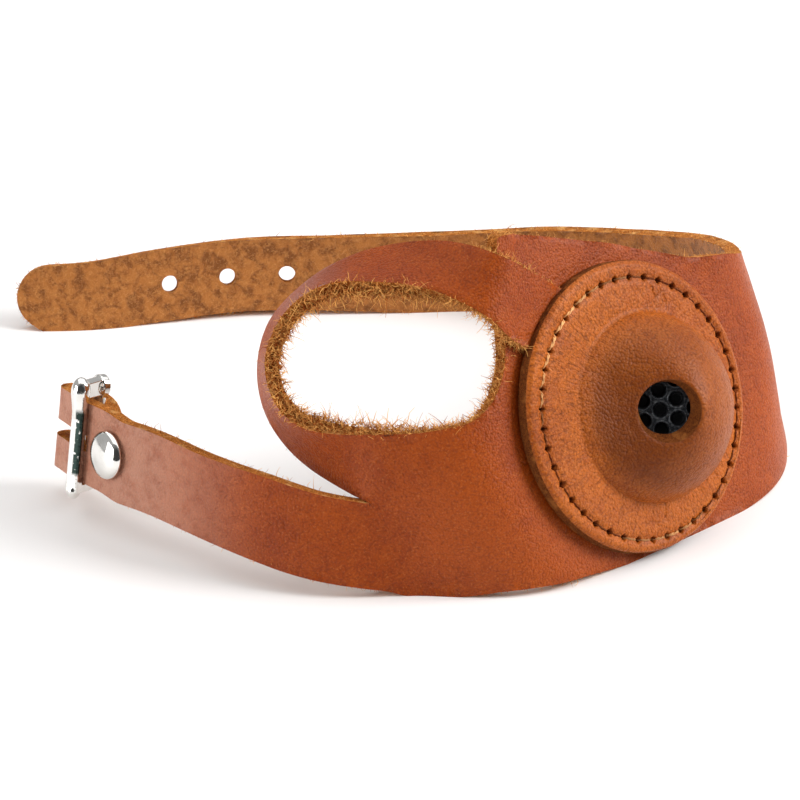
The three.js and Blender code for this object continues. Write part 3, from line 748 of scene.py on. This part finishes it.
def buckled(bm):
    """Hand-worn leather is never quite flat: slow waves, away from the shield and the buckle."""
    bm.normal_update()
    waves = []
    for corner in bm.verts:
        free = off_shield(shield_back @ corner.co)
        free *= smooth_between((corner.co - heel_foot).length, *waves_start)
        slow = noise.noise(corner.co / wave_long) * wave_high
        quick = noise.noise(corner.co / ripple_long + Vector((7, 1, 3))) * ripple_high
        waves.append(corner.normal * (slow + quick) * free)
    for corner, wave in zip(bm.verts, waves):
        corner.co += wave


def fold_section():
    """The fold seen along the heel bar: along the strap, out of the hand, and how much narrower."""
    section = [(along, fold_radius, 0) for along in (9.5, 7, 5, 3, 1)]
    section += [(-1, 3.2, 0), (-3, 2.8, 0), (-5, 2.3, 0), (-fold_beyond, fold_tip_radius, 0)]
    for angle in range(20, 181, 20):
        turned = radians(angle)
        along, out = fold_tip_radius * sin(turned), fold_tip_radius * cos(turned)
        section.append((-fold_beyond - along, out, 0))
    section += RETURN_PLY
    ends = ((7.5, 2.9), (9.5, 3.1), (11, 3.3), (13, 3.7), (folded_end, 4.5))
    return section + [(along, fold_inner, narrower) for along, narrower in ends]


def strap_hole(distance):
    """The middle of a hole so far from the tip, and the way it goes through."""
    at = 0
    while distance > ROW_LENGTHS[at]:
        distance -= ROW_LENGTHS[at]
        at += 1
    ruling = Ruling(at + distance / ROW_LENGTHS[at])
    return ruling.foot + ruling.rise * ruling.top / 2, ruling.ahead.cross(ruling.rise).normalized()


def punches():
    """What is cut out of the leather: the strap's holes, the rivet's, and the slot for the prong's eye."""
    bm = bmesh.new()
    for k in range(hole_count):
        middle, through = strap_hole(first_hole + k * hole_pitch)
        cylinder(bm, middle - through * 5, middle + through * 5, hole_across / 2, 40)
    out = buckle_place.col[2].to_3d()
    middle = buckle_place @ Vector((rivet_along, strap_middle, (fold_radius + fold_inner) / 2))
    cylinder(bm, middle - out * 6, middle + out * 6, rivet_shank_radius + clearance, 24)
    beyond = -fold_beyond - fold_tip_radius - leather
    for reach, side in ((3.4, 1), (6.2, -1)):
        deep = fold_radius + leather
        centre = Vector(((beyond + reach) / 2, strap_middle, side * deep / 2))
        block(bm, centre, (reach - beyond, slot_wide, deep + 0.2), 0, buckle_place)
    for face in bm.faces:
        face.material_index = 2
    return as_mesh(bm)


def rested(height):
    """Where a height of the leather comes to lie: what would be low is worn flat."""
    return max(0.0, 2 * (height - flattened)) if height < 2 * flattened else height


def leather_wall(sheet):
    """The sheet with its thickness, its holes and its rounded cut edges, worn flat where it stands."""
    cutter = linked("punches", punches())
    thicken = {"thickness": leather, "offset": 0, "use_even_offset": True, "vertex_group": GROUPS[THICK]}
    thicken.update({"material_offset": 1, "material_offset_rim": 2})
    cut = {"object": cutter, "operation": "DIFFERENCE", "solver": "EXACT", "use_self": True}
    soften = {"width": edge_round, "segments": 3, "limit_method": "ANGLE", "angle_limit": radians(48)}
    for _ in range(3):
        sheet.materials.append(None)
    wall = shaped(sheet, ("SOLIDIFY", thicken), ("BOOLEAN", cut), ("BEVEL", soften), groups=GROUPS)
    bpy.data.objects.remove(cutter)
    for corner in wall.vertices:
        corner.co.z = rested(corner.co.z)
    return wall


# Cut fibres
def spike(levels):
    """The corners and faces of one strand: three sides round and so many levels tall."""
    bm = bmesh.new()
    bmesh.ops.create_circle(bm, segments=3, radius=1, cap_ends=True)
    top = list(bm.faces)
    for level in range(levels):
        grown = bmesh.ops.extrude_face_region(bm, geom=top)["geom"]
        corners = [item for item in grown if isinstance(item, bmesh.types.BMVert)]
        bmesh.ops.translate(bm, verts=corners, vec=(0, 0, 1 / levels))
        if level:
            bmesh.ops.delete(bm, geom=top, context="FACES_ONLY")
        top = [item for item in grown if isinstance(item, bmesh.types.BMFace)]
    bmesh.ops.recalc_face_normals(bm, faces=bm.faces)
    bm.verts.index_update()
    corners = np.array([corner.co for corner in bm.verts])
    faces = [[corner.index for corner in face.verts] for face in bm.faces]
    bm.free()
    return corners, faces


class Fibres:
    """Many fine strands in one mesh, each a curled and tapered spike."""

    def __init__(self):
        self.rows = []

    def plant(self, root, way, bend, length, width, tone):
        self.rows.append((*root, *way, *bend, length, width, tone))

    def mesh(self):
        shape, faces = spike(5)
        rows = np.array(self.rows)
        roots, ways, bends = (rows[:, None, k : k + 3] for k in (0, 3, 6))
        length, width, tones = (rows[:, k, None, None] for k in (9, 10, 11))
        side = np.cross(ways, bends)
        side /= np.linalg.norm(side, axis=2, keepdims=True) + 1e-9
        other = np.cross(ways, side)
        share = shape[None, :, 2:]
        curl = length * draw.uniform(0.05, 0.28, length.shape)
        phase = draw.uniform(0, 2 * pi, length.shape)
        turned = draw.uniform(2, 8, length.shape) * share + phase
        spine = roots + ways * length * share + bends * length * share**2
        spine = spine + side * curl * (np.sin(turned) - np.sin(phase))
        spine = spine + other * curl * (np.cos(turned) - np.cos(phase))
        taper = width * (1 - 0.75 * share) / 2
        points = spine + (side * shape[None, :, :1] + other * shape[None, :, 1:2]) * taper
        points[..., 2] = np.maximum(points[..., 2], 0.03)
        joined = [[c + k * len(shape) for c in face] for k in range(len(rows)) for face in faces]
        mesh = bpy.data.meshes.new("fibres")
        mesh.from_pydata(points.reshape(-1, 3), [], joined)
        tone = mesh.attributes.new("tone", "FLOAT", "POINT")
        # Painted shade: each fibre's tone darkens towards its root.
        lit = tones * (0.55 + 0.45 * share)
        tone.data.foreach_set("value", lit.reshape(-1).astype(np.float32))
        return mesh


def random_way(spread):
    return Vector(draw.normal(0, spread, 3))


def cut_borders(sheet):
    """Each stretch of the sheet's border: its two ends, its grain side, outwards, thickness and fuzz."""
    bm = bmesh.new()
    bm.from_mesh(sheet)
    weights = bm.verts.layers.deform.verify()
    for edge in bm.edges:
        if not edge.is_boundary:
            continue
        face = edge.link_faces[0]
        a, b = (corner.co.copy() for corner in edge.verts)
        local = shield_back @ a
        if hypot(local.x, local.y) < shield_radius and abs(local.z) < under_shield:
            continue
        out = (b - a).normalized().cross(face.normal)
        if out.dot(a - face.calc_center_median()) < 0:
            out = -out
        thick = sum(corner[weights].get(THICK, 1) for corner in edge.verts) * half
        fuzz = sum(corner[weights].get(FUZZ, 0) for corner in edge.verts) / 2
        yield a, b, face.normal.copy(), out, thick, fuzz
    bm.free()


def cut_fibres(sheet):
    """Fibres on the thumb hole's border, dense and matted, and thinner ones on the other cut edges."""
    border, edges = Fibres(), Fibres()
    for a, b, grain, out, thick, fuzz in cut_borders(sheet):
        frayed = smooth_between(frayed_reach - (a - frayed_corner).length, 0, frayed_reach / 2)
        dense = hole_fibres if fuzz > 0.5 else edge_fibres * (1 + 3 * frayed)
        for _ in range(int((b - a).length * dense + draw.random())):
            depth = draw.uniform(0.08, 1.04)
            root = a.lerp(b, draw.random()) + grain * (thick * (0.5 - depth)) - out * 0.15
            way = (out * 0.8 - grain * (0.8 * (depth - 0.45)) + random_way(0.6)).normalized()
            tone = min(max(draw.normal(0.66, 0.34), 0), 1)
            if fuzz > 0.5:
                matted = smooth_between(mat_starts - a.x, 0, mat_spreads) * depth
                root += out * draw.uniform(0, mat_deep) * matted
                length = (0.4 + 0.24 * draw.gamma(1.8) * (0.6 + 0.6 * depth)) * (1 + 0.6 * matted)
                length = min(length, border_longest)
                border.plant(root, way, random_way(0.7), length, draw.uniform(0.14, 0.3), tone)
                continue
            length = 0.2 + 0.18 * draw.gamma(1.5) * (1 + frayed)
            if draw.random() < stray_share:
                length = draw.uniform(*stray_lengths)
            edges.plant(root, way, random_way(0.5), min(length, 2), draw.uniform(0.1, 0.22), tone)
    return border.mesh(), edges.mesh()


# The shield
tilt = radians(eye_tilt)
towards = Quaternion(UP, radians(eye_tilt_towards))
eye_axis = towards @ Vector((sin(tilt), 0, cos(tilt)))
eye_down = towards @ Vector((cos(tilt), 0, -sin(tilt)))
eye_across = eye_axis.cross(eye_down)


def eye_direction(azimuth):
    return Quaternion(eye_axis, azimuth - radians(eye_tilt_towards)) @ eye_down


def bezier(points, share):
    a, b, c, d = points
    rest = 1 - share
    return a * rest**3 + b * 3 * rest**2 * share + c * 3 * rest * share**2 + d * share**3


def dome_line(azimuth):
    """The corners of the curve from the dome's foot to the eye's lip, in the shield's frame."""
    radial = spoke(azimuth)
    steep = (1 - cos(azimuth - radians(eye_tilt_towards))) / 2
    foot = dome_centre + radial * dome_radius
    lip = eye_centre + eye_direction(azimuth) * eye_radius
    rising = foot + UP * (1 + 5.5 * steep) - radial * 1.4 * (1 - steep)
    closing = lip + eye_direction(azimuth) * (4.4 - 2.6 * steep) + radial * 5.7 * steep
    return foot, rising, closing, lip


def dome_meridian(azimuth, cells):
    corners = dome_line(azimuth)
    return [bezier(corners, share) for share in between(0, 1, cells)]


def dome_outward(azimuth, share):
    """The direction out of the dome at a share of the way up it."""
    fine, step = 50, 0.02

    def at(turned, along):
        return bezier(dome_line(turned), round(along * fine) / fine)

    up = at(azimuth, min(share + step, 1)) - at(azimuth, max(share - step, 0))
    side = at(azimuth + step, share) - at(azimuth, share)
    return side.cross(up).normalized()


def lobe(azimuth, middle, wide):
    """1 in one direction round the shield, less to both sides of it, in degrees."""
    off = (degrees(azimuth) - middle + 180) % 360 - 180
    return exp(-((off / wide) ** 2))


def pricked(x, y):
    """How far a place on the flange lies within an awl hole, which is a diamond."""
    x, y = x - seam_centre.x, y - seam_centre.y
    radius, azimuth = hypot(x, y), atan2(y, x)
    pitch = 2 * pi / stitch_count
    off = (azimuth / pitch - round(azimuth / pitch)) * pitch * seam_radius
    return smooth_between(awl_wide - abs(off) - abs(radius - seam_radius), 0, awl_wide * 0.7)


def tooled(x, y):
    """How deep the groove, the awl holes and the creases go at a place on the flange."""
    off = hypot(x - seam_centre.x, y - seam_centre.y) - seam_radius
    deep = groove_deep * exp(-((off / groove_wide) ** 2)) + awl_deep * pricked(x, y)
    radius, azimuth = hypot(x, y), atan2(y, x)
    for middle, start, end, pressed_in, sway in CREASES:
        share = (radius - start) / (end - start)
        if 0 < share < 1:
            across = (azimuth - radians(middle + sway * sin(5 * share))) * radius / crease_wide
            deep += pressed_in * exp(-(across**2)) * sin(pi * share)
    return deep


def eye_place(left, down):
    """A place in the plane of the eye, so far to its low side and down from its middle."""
    return eye_down * left + eye_across * down


def shield_column(azimuth):
    """Half a section through the shield: outside, the eye's wall, and the hollow inside."""
    radial, direction = spoke(azimuth), eye_direction(azimuth)
    outside = [radial * radius + UP * height for radius, height in RIM]
    outside += [seam_centre + radial * (seam_radius + off) for off in FLANGE]
    foot = dome_centre + radial * (dome_radius + 0.9)
    last = outside[-1]
    outside += [last.lerp(foot, share) for share in between(0, 1, flat_cells)[1:]]
    outside += dome_meridian(azimuth, dome_cells)
    lip = outside[-1]
    inner = eye_centre + eye_place(*eye_off_centre) + direction * eye_inner_radius
    walls = [lip - eye_axis * 0.12 - direction * 0.1]
    walls += [lip.lerp(inner - eye_axis * eye_wall, share) - eye_axis * 0.1 for share in (0.35, 0.7, 1)]
    walls.append(inner - eye_axis * dome_thick)
    hollow = dome_meridian(azimuth, hollow_cells)[:-1]
    shares = between(1 - 1 / hollow_cells, 0, hollow_cells - 1)
    inside = [
        point - dome_outward(azimuth, share) * dome_thick for point, share in zip(reversed(hollow), shares)
    ]
    inside += [radial * radius - UP * shield_thick for radius in (22.5, 25, 27.4)]
    return outside, walls, inside


def shield_mesh(seat):
    """The shield as one closed body, with how pricked and wrinkled each place is, and how far the dome is
    darkened by its burnish and by painted shade.
    """
    around = 14 * stitch_count
    columns = [shield_column(2 * pi * k / around) for k in range(around + 1)]
    sizes = [len(part) for part in columns[0]]
    tooled_rows = range(CUT_FACES, len(RIM) + len(FLANGE) + flat_cells)
    whole = [outside + walls + inside + outside[:1] for outside, walls, inside in columns]
    for column in whole:
        for j in tooled_rows:
            column[j] = column[j] - UP * tooled(column[j].x, column[j].y)
    paint = [1] * CUT_FACES + [0] * (sizes[0] - CUT_FACES) + [1] * sizes[1] + [2] * sizes[2]
    bm = bmesh.new()
    patch(bm, whole, paint)
    closed(bm)
    prick, dome, wrinkle = (bm.verts.layers.float.new(name) for name in ("pricked", "domed", "wrinkled"))
    polar = bm.verts.layers.float_vector.new("polar")
    for corner in bm.verts:
        x, y, z = corner.co
        # Pricked places on the front also carry painted shade in the awl holes.
        corner[prick] = pricked(x, y) if z > -shield_thick / 2 else 0.0
        off = corner.co - dome_centre
        radius, azimuth = hypot(off.x, off.y), atan2(off.y, off.x)
        flange = smooth_between(radius, dome_radius - 3.5, dome_radius + 1)
        # Burnish over the dome, with painted shade added round its left side.
        burnish_and_shade = 1 - smooth_between(radius, dome_radius - 4.5, dome_radius + 1.2)
        corner[dome] = burnish_and_shade * (0.45 + 0.55 * lobe(azimuth, 190, 80))
        corner[wrinkle] = flange * (0.3 + 0.7 * lobe(azimuth, 145, 70) + 0.4 * lobe(azimuth, -50, 40))
        corner[polar] = Vector((cos(azimuth) * 24, sin(azimuth) * 24, radius * 0.35)) / 1000
        corner.co += corner.normal * 0.1 * noise.noise(corner.co / 3.5)
        corner.co = shield_place @ corner.co
    seated(bm, seat)
    return as_mesh(bm)


def seated(bm, seat):
    """The shield's back is hollowed where the pared end of the tongue lies under it."""
    out = shield_place.col[2].to_3d()
    for corner in bm.verts:
        local = shield_back @ corner.co
        if local.z > -1.2 or hypot(local.x, local.y) < 16:
            continue
        found = seat.ray_cast(corner.co + out * 3, -out, 3.5)
        if found[0] is not None:
            height = (shield_back @ found[0]).z + clearance * 0.6
            if height > local.z:
                corner.co += out * (height - local.z)


def stitches():
    """Two twisted plies from awl hole to awl hole, sunk at both ends; thicker at the upper left, and painted
    lighter there as a painted highlight.
    """
    bm = bmesh.new()
    pitch = 2 * pi / stitch_count
    tones = bm.verts.layers.float.new("tone")
    for k in range(stitch_count):
        azimuth = (k + 0.5) * pitch
        # Painted highlight: the thread is painted lighter, and made thicker, towards the upper left and a
        # little at the bottom.
        highlight_and_thickness = lobe(azimuth, 128, 38) + 0.5 * lobe(azimuth, -95, 30)
        highlight_and_thickness = min(highlight_and_thickness + draw.uniform(-0.12, 0.12), 1)
        thick = 0.11 + 0.1 * max(highlight_and_thickness, 0)
        skew = draw.uniform(-0.2, 0.2)
        proud = draw.uniform(-0.05, 0.05)
        for ply in (0, pi):
            columns = []
            for step in range(ply_steps + 1):
                share = step / ply_steps
                radial = spoke((k + share) * pitch)
                sunk = 1.1 * max(abs(2 * share - 1) - 0.35, 0) ** 1.5 * 1.9
                height = proud + thick * 0.6 - groove_deep - sunk
                spine = seam_centre + radial * (seam_radius + skew * (share - 0.5)) + UP * height
                centre = spine + wheel(radial, ply + share * ply_twist) * thick * 0.7
                swell = thick if 0 < step < ply_steps else 0.0
                angles = between(0, 2 * pi, ply_sides)
                ring = [centre + wheel(radial, angle) * swell for angle in angles]
                columns.append([shield_place @ point for point in ring])
            for corner in patch(bm, columns):
                corner[tones] = min(max(highlight_and_thickness + draw.uniform(-0.08, 0.08), 0), 1)
    closed(bm, 0.001)
    return as_mesh(bm)


def iron_mesh():
    """The eye iron: a round foot, a body that narrows, and a plate with round pits."""
    plate_centre = eye_centre + eye_place(*eye_off_centre) - eye_axis * (dome_thick + 0.25)
    middle = Vector(dimples_off_centre) - Vector(eye_off_centre)
    pits = []
    for row in range(-3, 4):
        for step in range(-3, 4):
            left = row * dimple_pitch * sin(radians(60)) + middle.x
            down = (step + row % 2 / 2) * dimple_pitch + middle.y
            if hypot(left, down) < iron_radius:
                pits.append((left, down))

    def plate(left, down):
        """A place on the plate, and how far it lies within a pit."""
        near = min(hypot(left - a, down - b) for a, b in pits) / dimple_radius
        deep = dimple_depth * smooth_between(pit_edge - near, 0, pit_wall)
        lip = pit_lip * exp(-(((near - pit_edge) / pit_lip_wide) ** 2))
        place = plate_centre + eye_down * left + eye_across * down + eye_axis * (lip - deep)
        return shield_place @ place, smooth_between(1.06 - near, 0, 0.3)

    sides = 200
    foot = dome_centre - UP * shield_thick
    columns, darks = [], {}
    for k in range(sides + 1):
        azimuth = 2 * pi * k / sides
        radial, direction = spoke(azimuth), eye_direction(azimuth)
        edge = foot + radial * iron_foot_radius
        body = [foot, foot + radial * (iron_foot_radius - 0.3), edge + UP * 0.3]
        body += [edge + UP * iron_foot_thick, plate_centre + direction * iron_radius - eye_axis * 1.2]
        body += [plate_centre + direction * (iron_radius - 0.2) - eye_axis * 0.3]
        column = [shield_place @ point for point in body]
        left, down = direction.dot(eye_down), direction.dot(eye_across)
        for radius in between(iron_radius - 0.7, 0.0, 56):
            point, dark = plate(left * radius, down * radius)
            column.append(point)
            darks[place_key(point)] = dark
        columns.append(column)
    bm = bmesh.new()
    # How deep in a pit each corner lies, for the painted shade in the pits.
    pit_shade = bm.verts.layers.float.new("pit_shade")
    for corner in patch(bm, columns):
        corner[pit_shade] = darks.get(place_key(corner.co), 0.0)
    closed(bm)
    return as_mesh(bm)


# Buckle and rivet, in the buckle's frame
def cast(bm):
    """Fuses overlapping shapes into one body with soft joins, as cast metal has."""
    bm.transform(buckle_place)
    fuse = {"mode": "VOXEL", "voxel_size": 0.14}
    return shaped(as_mesh(bm), ("REMESH", fuse), ("SMOOTH", {"factor": 0.5, "iterations": 3}))


def bar_frame(up):
    """The front bar's own frame, twisted, so far up it."""
    return Matrix.Translation(front_bar + Vector((0, up, 0))) @ Matrix.Rotation(radians(bar_twist), 4, "Y")


def buckle_mesh():
    radius = bar_across / 2
    low, high = -(clearance + radius), buckle_strap_wide + clearance + radius
    bm = bmesh.new()

    def heel(up, out=0.0):
        return Vector((0, up, out))

    def front(up, further=0.0):
        return front_bar + Vector((0, up, further))

    cylinder(bm, heel(low), heel(high), radius * 0.94)
    block(bm, Vector(), (bar_wide, high - low + 1, bar_thick), 0.4, bar_frame((low + high) / 2))
    ball(bm, front(low), (1.45, 1.7, 1.35))
    cylinder(bm, front(high - 4.4, 0.1), front(high + head_lift, 0.3), 1.3, end_radius=1.9)
    ball(bm, front(high + head_lift, 0.3), (1.95, 2.9, 1.85))
    turned = Matrix.Rotation(atan2(front_bar.x, front_bar.z), 4, "Y")
    for up, tall in ((low + 0.3, 2), (high + 0.9, 3.6)):
        rail_place = Matrix.Translation((heel(up) + front(up)) / 2) @ turned
        block(bm, Vector(), (2.2, tall, front_bar.length + 1.2), 0.45, rail_place)
    cylinder(bm, heel(high + head_lift, -0.75), heel(high + head_lift, 0.75), lug_radius, 40)
    return painted_dark_reflection(cast(bm), (low + high) / 2)


def painted_dark_reflection(mesh, middle):
    """Marks the painted dark reflection on the front bar's face, along its side towards the palm."""
    back = (buckle_place @ bar_frame(middle)).inverted()
    marks = mesh.attributes.new("painted_dark_reflection", "FLOAT", "POINT")
    for corner, mark in zip(mesh.vertices, marks.data):
        local = back @ corner.co
        turned = degrees(atan2(local.x, local.z))
        dark = smooth_between(turned, -8, 2) * smooth_between(turned, 72, 62)
        ends = smooth_between(local.y, dark_reflection_from, dark_reflection_from + 1)
        ends *= smooth_between(local.y, dark_reflection_to, dark_reflection_to - 1.2)
        mark.value = dark * ends if hypot(local.x, local.z) < 2 else 0.0
    return mesh


def prong_mesh():
    bm = bmesh.new()
    ring = bar_across / 2 + clearance + prong_across / 2
    tube = bmesh.ops.create_circle(bm, segments=16, radius=prong_across / 2)["verts"]
    bmesh.ops.translate(bm, verts=tube, vec=(ring, 0, 0))
    whole = {"cent": (0, 0, 0), "axis": (0, 0, 1), "angle": 2 * pi, "steps": 36, "use_merge": True}
    bmesh.ops.spin(bm, geom=bm.edges[:], **whole)
    bmesh.ops.rotate(bm, verts=bm.verts, cent=(0, 0, 0), matrix=Matrix.Rotation(pi / 2, 3, "X"))
    turn = radians(prong_steep)
    pointing = Vector((cos(turn), 0, -sin(turn)))
    cylinder(bm, pointing * ring, pointing * prong_long, prong_across / 2, 20, prong_across * 0.4)
    ball(bm, pointing * prong_long, [prong_across * 0.4] * 3)
    bmesh.ops.translate(bm, verts=bm.verts, vec=(0, strap_middle, 0))
    bmesh.ops.recalc_face_normals(bm, faces=bm.faces)
    return cast(bm)


def rivet_mesh():
    cap_face = fold_radius + half + clearance + 0.15
    back_face = fold_inner - half - clearance
    back = ((0, 1), (2.1, 1), (2.45, 0.8), (2.6, 0.4), (2.6, 0), (rivet_shank_radius, 0))
    profile = [(radius, back_face - deep) for radius, deep in back]
    profile += [(rivet_shank_radius, cap_face), (rivet_cap_radius - 0.25, cap_face)]
    for angle in range(0, 91, 6):
        turned = radians(angle)
        profile.append((rivet_cap_radius * cos(turned), cap_face + 0.25 + 1.85 * sin(turned)))
    middle = Vector((rivet_along, strap_middle, 0))
    bm = bmesh.new()
    patch(bm, [[middle + spoke(angle) * r + UP * z for r, z in profile] for angle in between(0, 2 * pi, 72)])
    closed(bm)
    bm.transform(buckle_place)
    return as_mesh(bm)


# The pieces
sheet = shaped(leather_sheet(), ("SUBSURF", {"levels": 1, "render_levels": 1}), groups=GROUPS)
border, edges = cut_fibres(sheet)
wall = leather_wall(sheet)
seat_mesh = bmesh.new()
seat_mesh.from_mesh(wall)
seat = BVHTree.FromBMesh(seat_mesh)
seat_mesh.free()
piece("palm_hide", wall, [tan_grain, tan_suede, tan_cut], ["palm_leather"])
piece("hole_fibres", border, [fibre_gold])
piece("edge_fibres", edges, [fibre_gold])
piece("shield_disc", shield_mesh(seat), [shield_grain, shaded_shield_cut, tan_suede], ["shield"])
piece("shield_thread", stitches(), [waxed_thread])
piece("dimpled_iron", iron_mesh(), [black_iron], ["eye_iron"])
piece("domed_rivet", rivet_mesh(), [nickel_plate], ["strap_rivet"])
piece("cast_buckle", buckle_mesh(), [nickel_plate], ["buckle_frame"])
piece("straight_prong", prong_mesh(), [nickel_plate], ["buckle_prong"])


# Floor, light and camera
def floor():
    """A pale table that ends not far in front of the palm."""
    bm = bmesh.new()
    place = Matrix.Translation(table_middle) @ Matrix.Diagonal((*table_size, 1, 1))
    bmesh.ops.create_grid(bm, x_segments=1, y_segments=1, size=0.5, matrix=place)
    ground = linked("floor", as_mesh(bm))
    finish = Finish("floor_white", Roughness=0.6, Specular_IOR_Level=0.2)
    faint = finish.noise(60, detail=2)
    colour = finish.mix(faint, tint(246, 245, 244), tint(250, 249, 248))
    ground.data.materials.append(finish.feed(colour))


def softbox(name, place, size, power):
    light = bpy.data.lights.new(name, "AREA")
    light.shape = "RECTANGLE"
    light.size, light.size_y = size
    light.energy = power
    lamp = linked(name, light)
    lamp.location = place
    lamp.rotation_euler = (Vector(place) - camera_aim).to_track_quat("Z", "Y").to_euler()


def surroundings():
    """A studio that is dark behind the camera and light at the sides, before a white backdrop."""
    world = bpy.data.worlds.new("studio")
    bpy.context.scene.world = world
    world.use_nodes = True
    studio = Nodes(world.node_tree)
    ahead = studio.add("SeparateXYZ", {}, {0: studio.add("TexCoord", out="Generated")}, "Y")
    dimming = {"Value": ahead, "From Min": -0.75, "From Max": -0.25, "To Min": 0.05, "To Max": 0.45}
    bright = studio.add("MapRange", {}, dimming)
    seen = studio.maths("MAXIMUM", bright, studio.add("LightPath", out="Is Camera Ray"))
    background = studio.tree.nodes["Background"]
    studio.tree.links.new(seen.socket, background.inputs["Strength"])
    background.inputs["Color"].default_value = (1, 1, 1, 1)


table_middle = Vector((0, 1.1, 0))
table_size = (4, 3)
camera_elevation = 26
camera_distance = 0.8
camera_aim = (ring_origin + Vector((0, 0, 25))) / 1000
floor()
surroundings()
softbox("ceiling", (0, 0.2, 1.3), (2.2, 2.0), 13)
softbox("left", (-0.85, -0.4, 0.24), (0.5, 0.46), 5)
softbox("right", (0.85, -0.1, 0.55), (0.5, 0.5), 10)
lens = bpy.data.cameras.new("camera")
lens.lens = 187.2
lens.sensor_width = 36
camera = linked("camera", lens)
elevation = radians(camera_elevation)
away = Vector((0, -cos(elevation), sin(elevation)))
camera.location = camera_aim + away * camera_distance
camera.rotation_euler = away.to_track_quat("Z", "Y").to_euler()
bpy.context.scene.camera = camera
bpy.context.scene.view_settings.view_transform = "Standard"
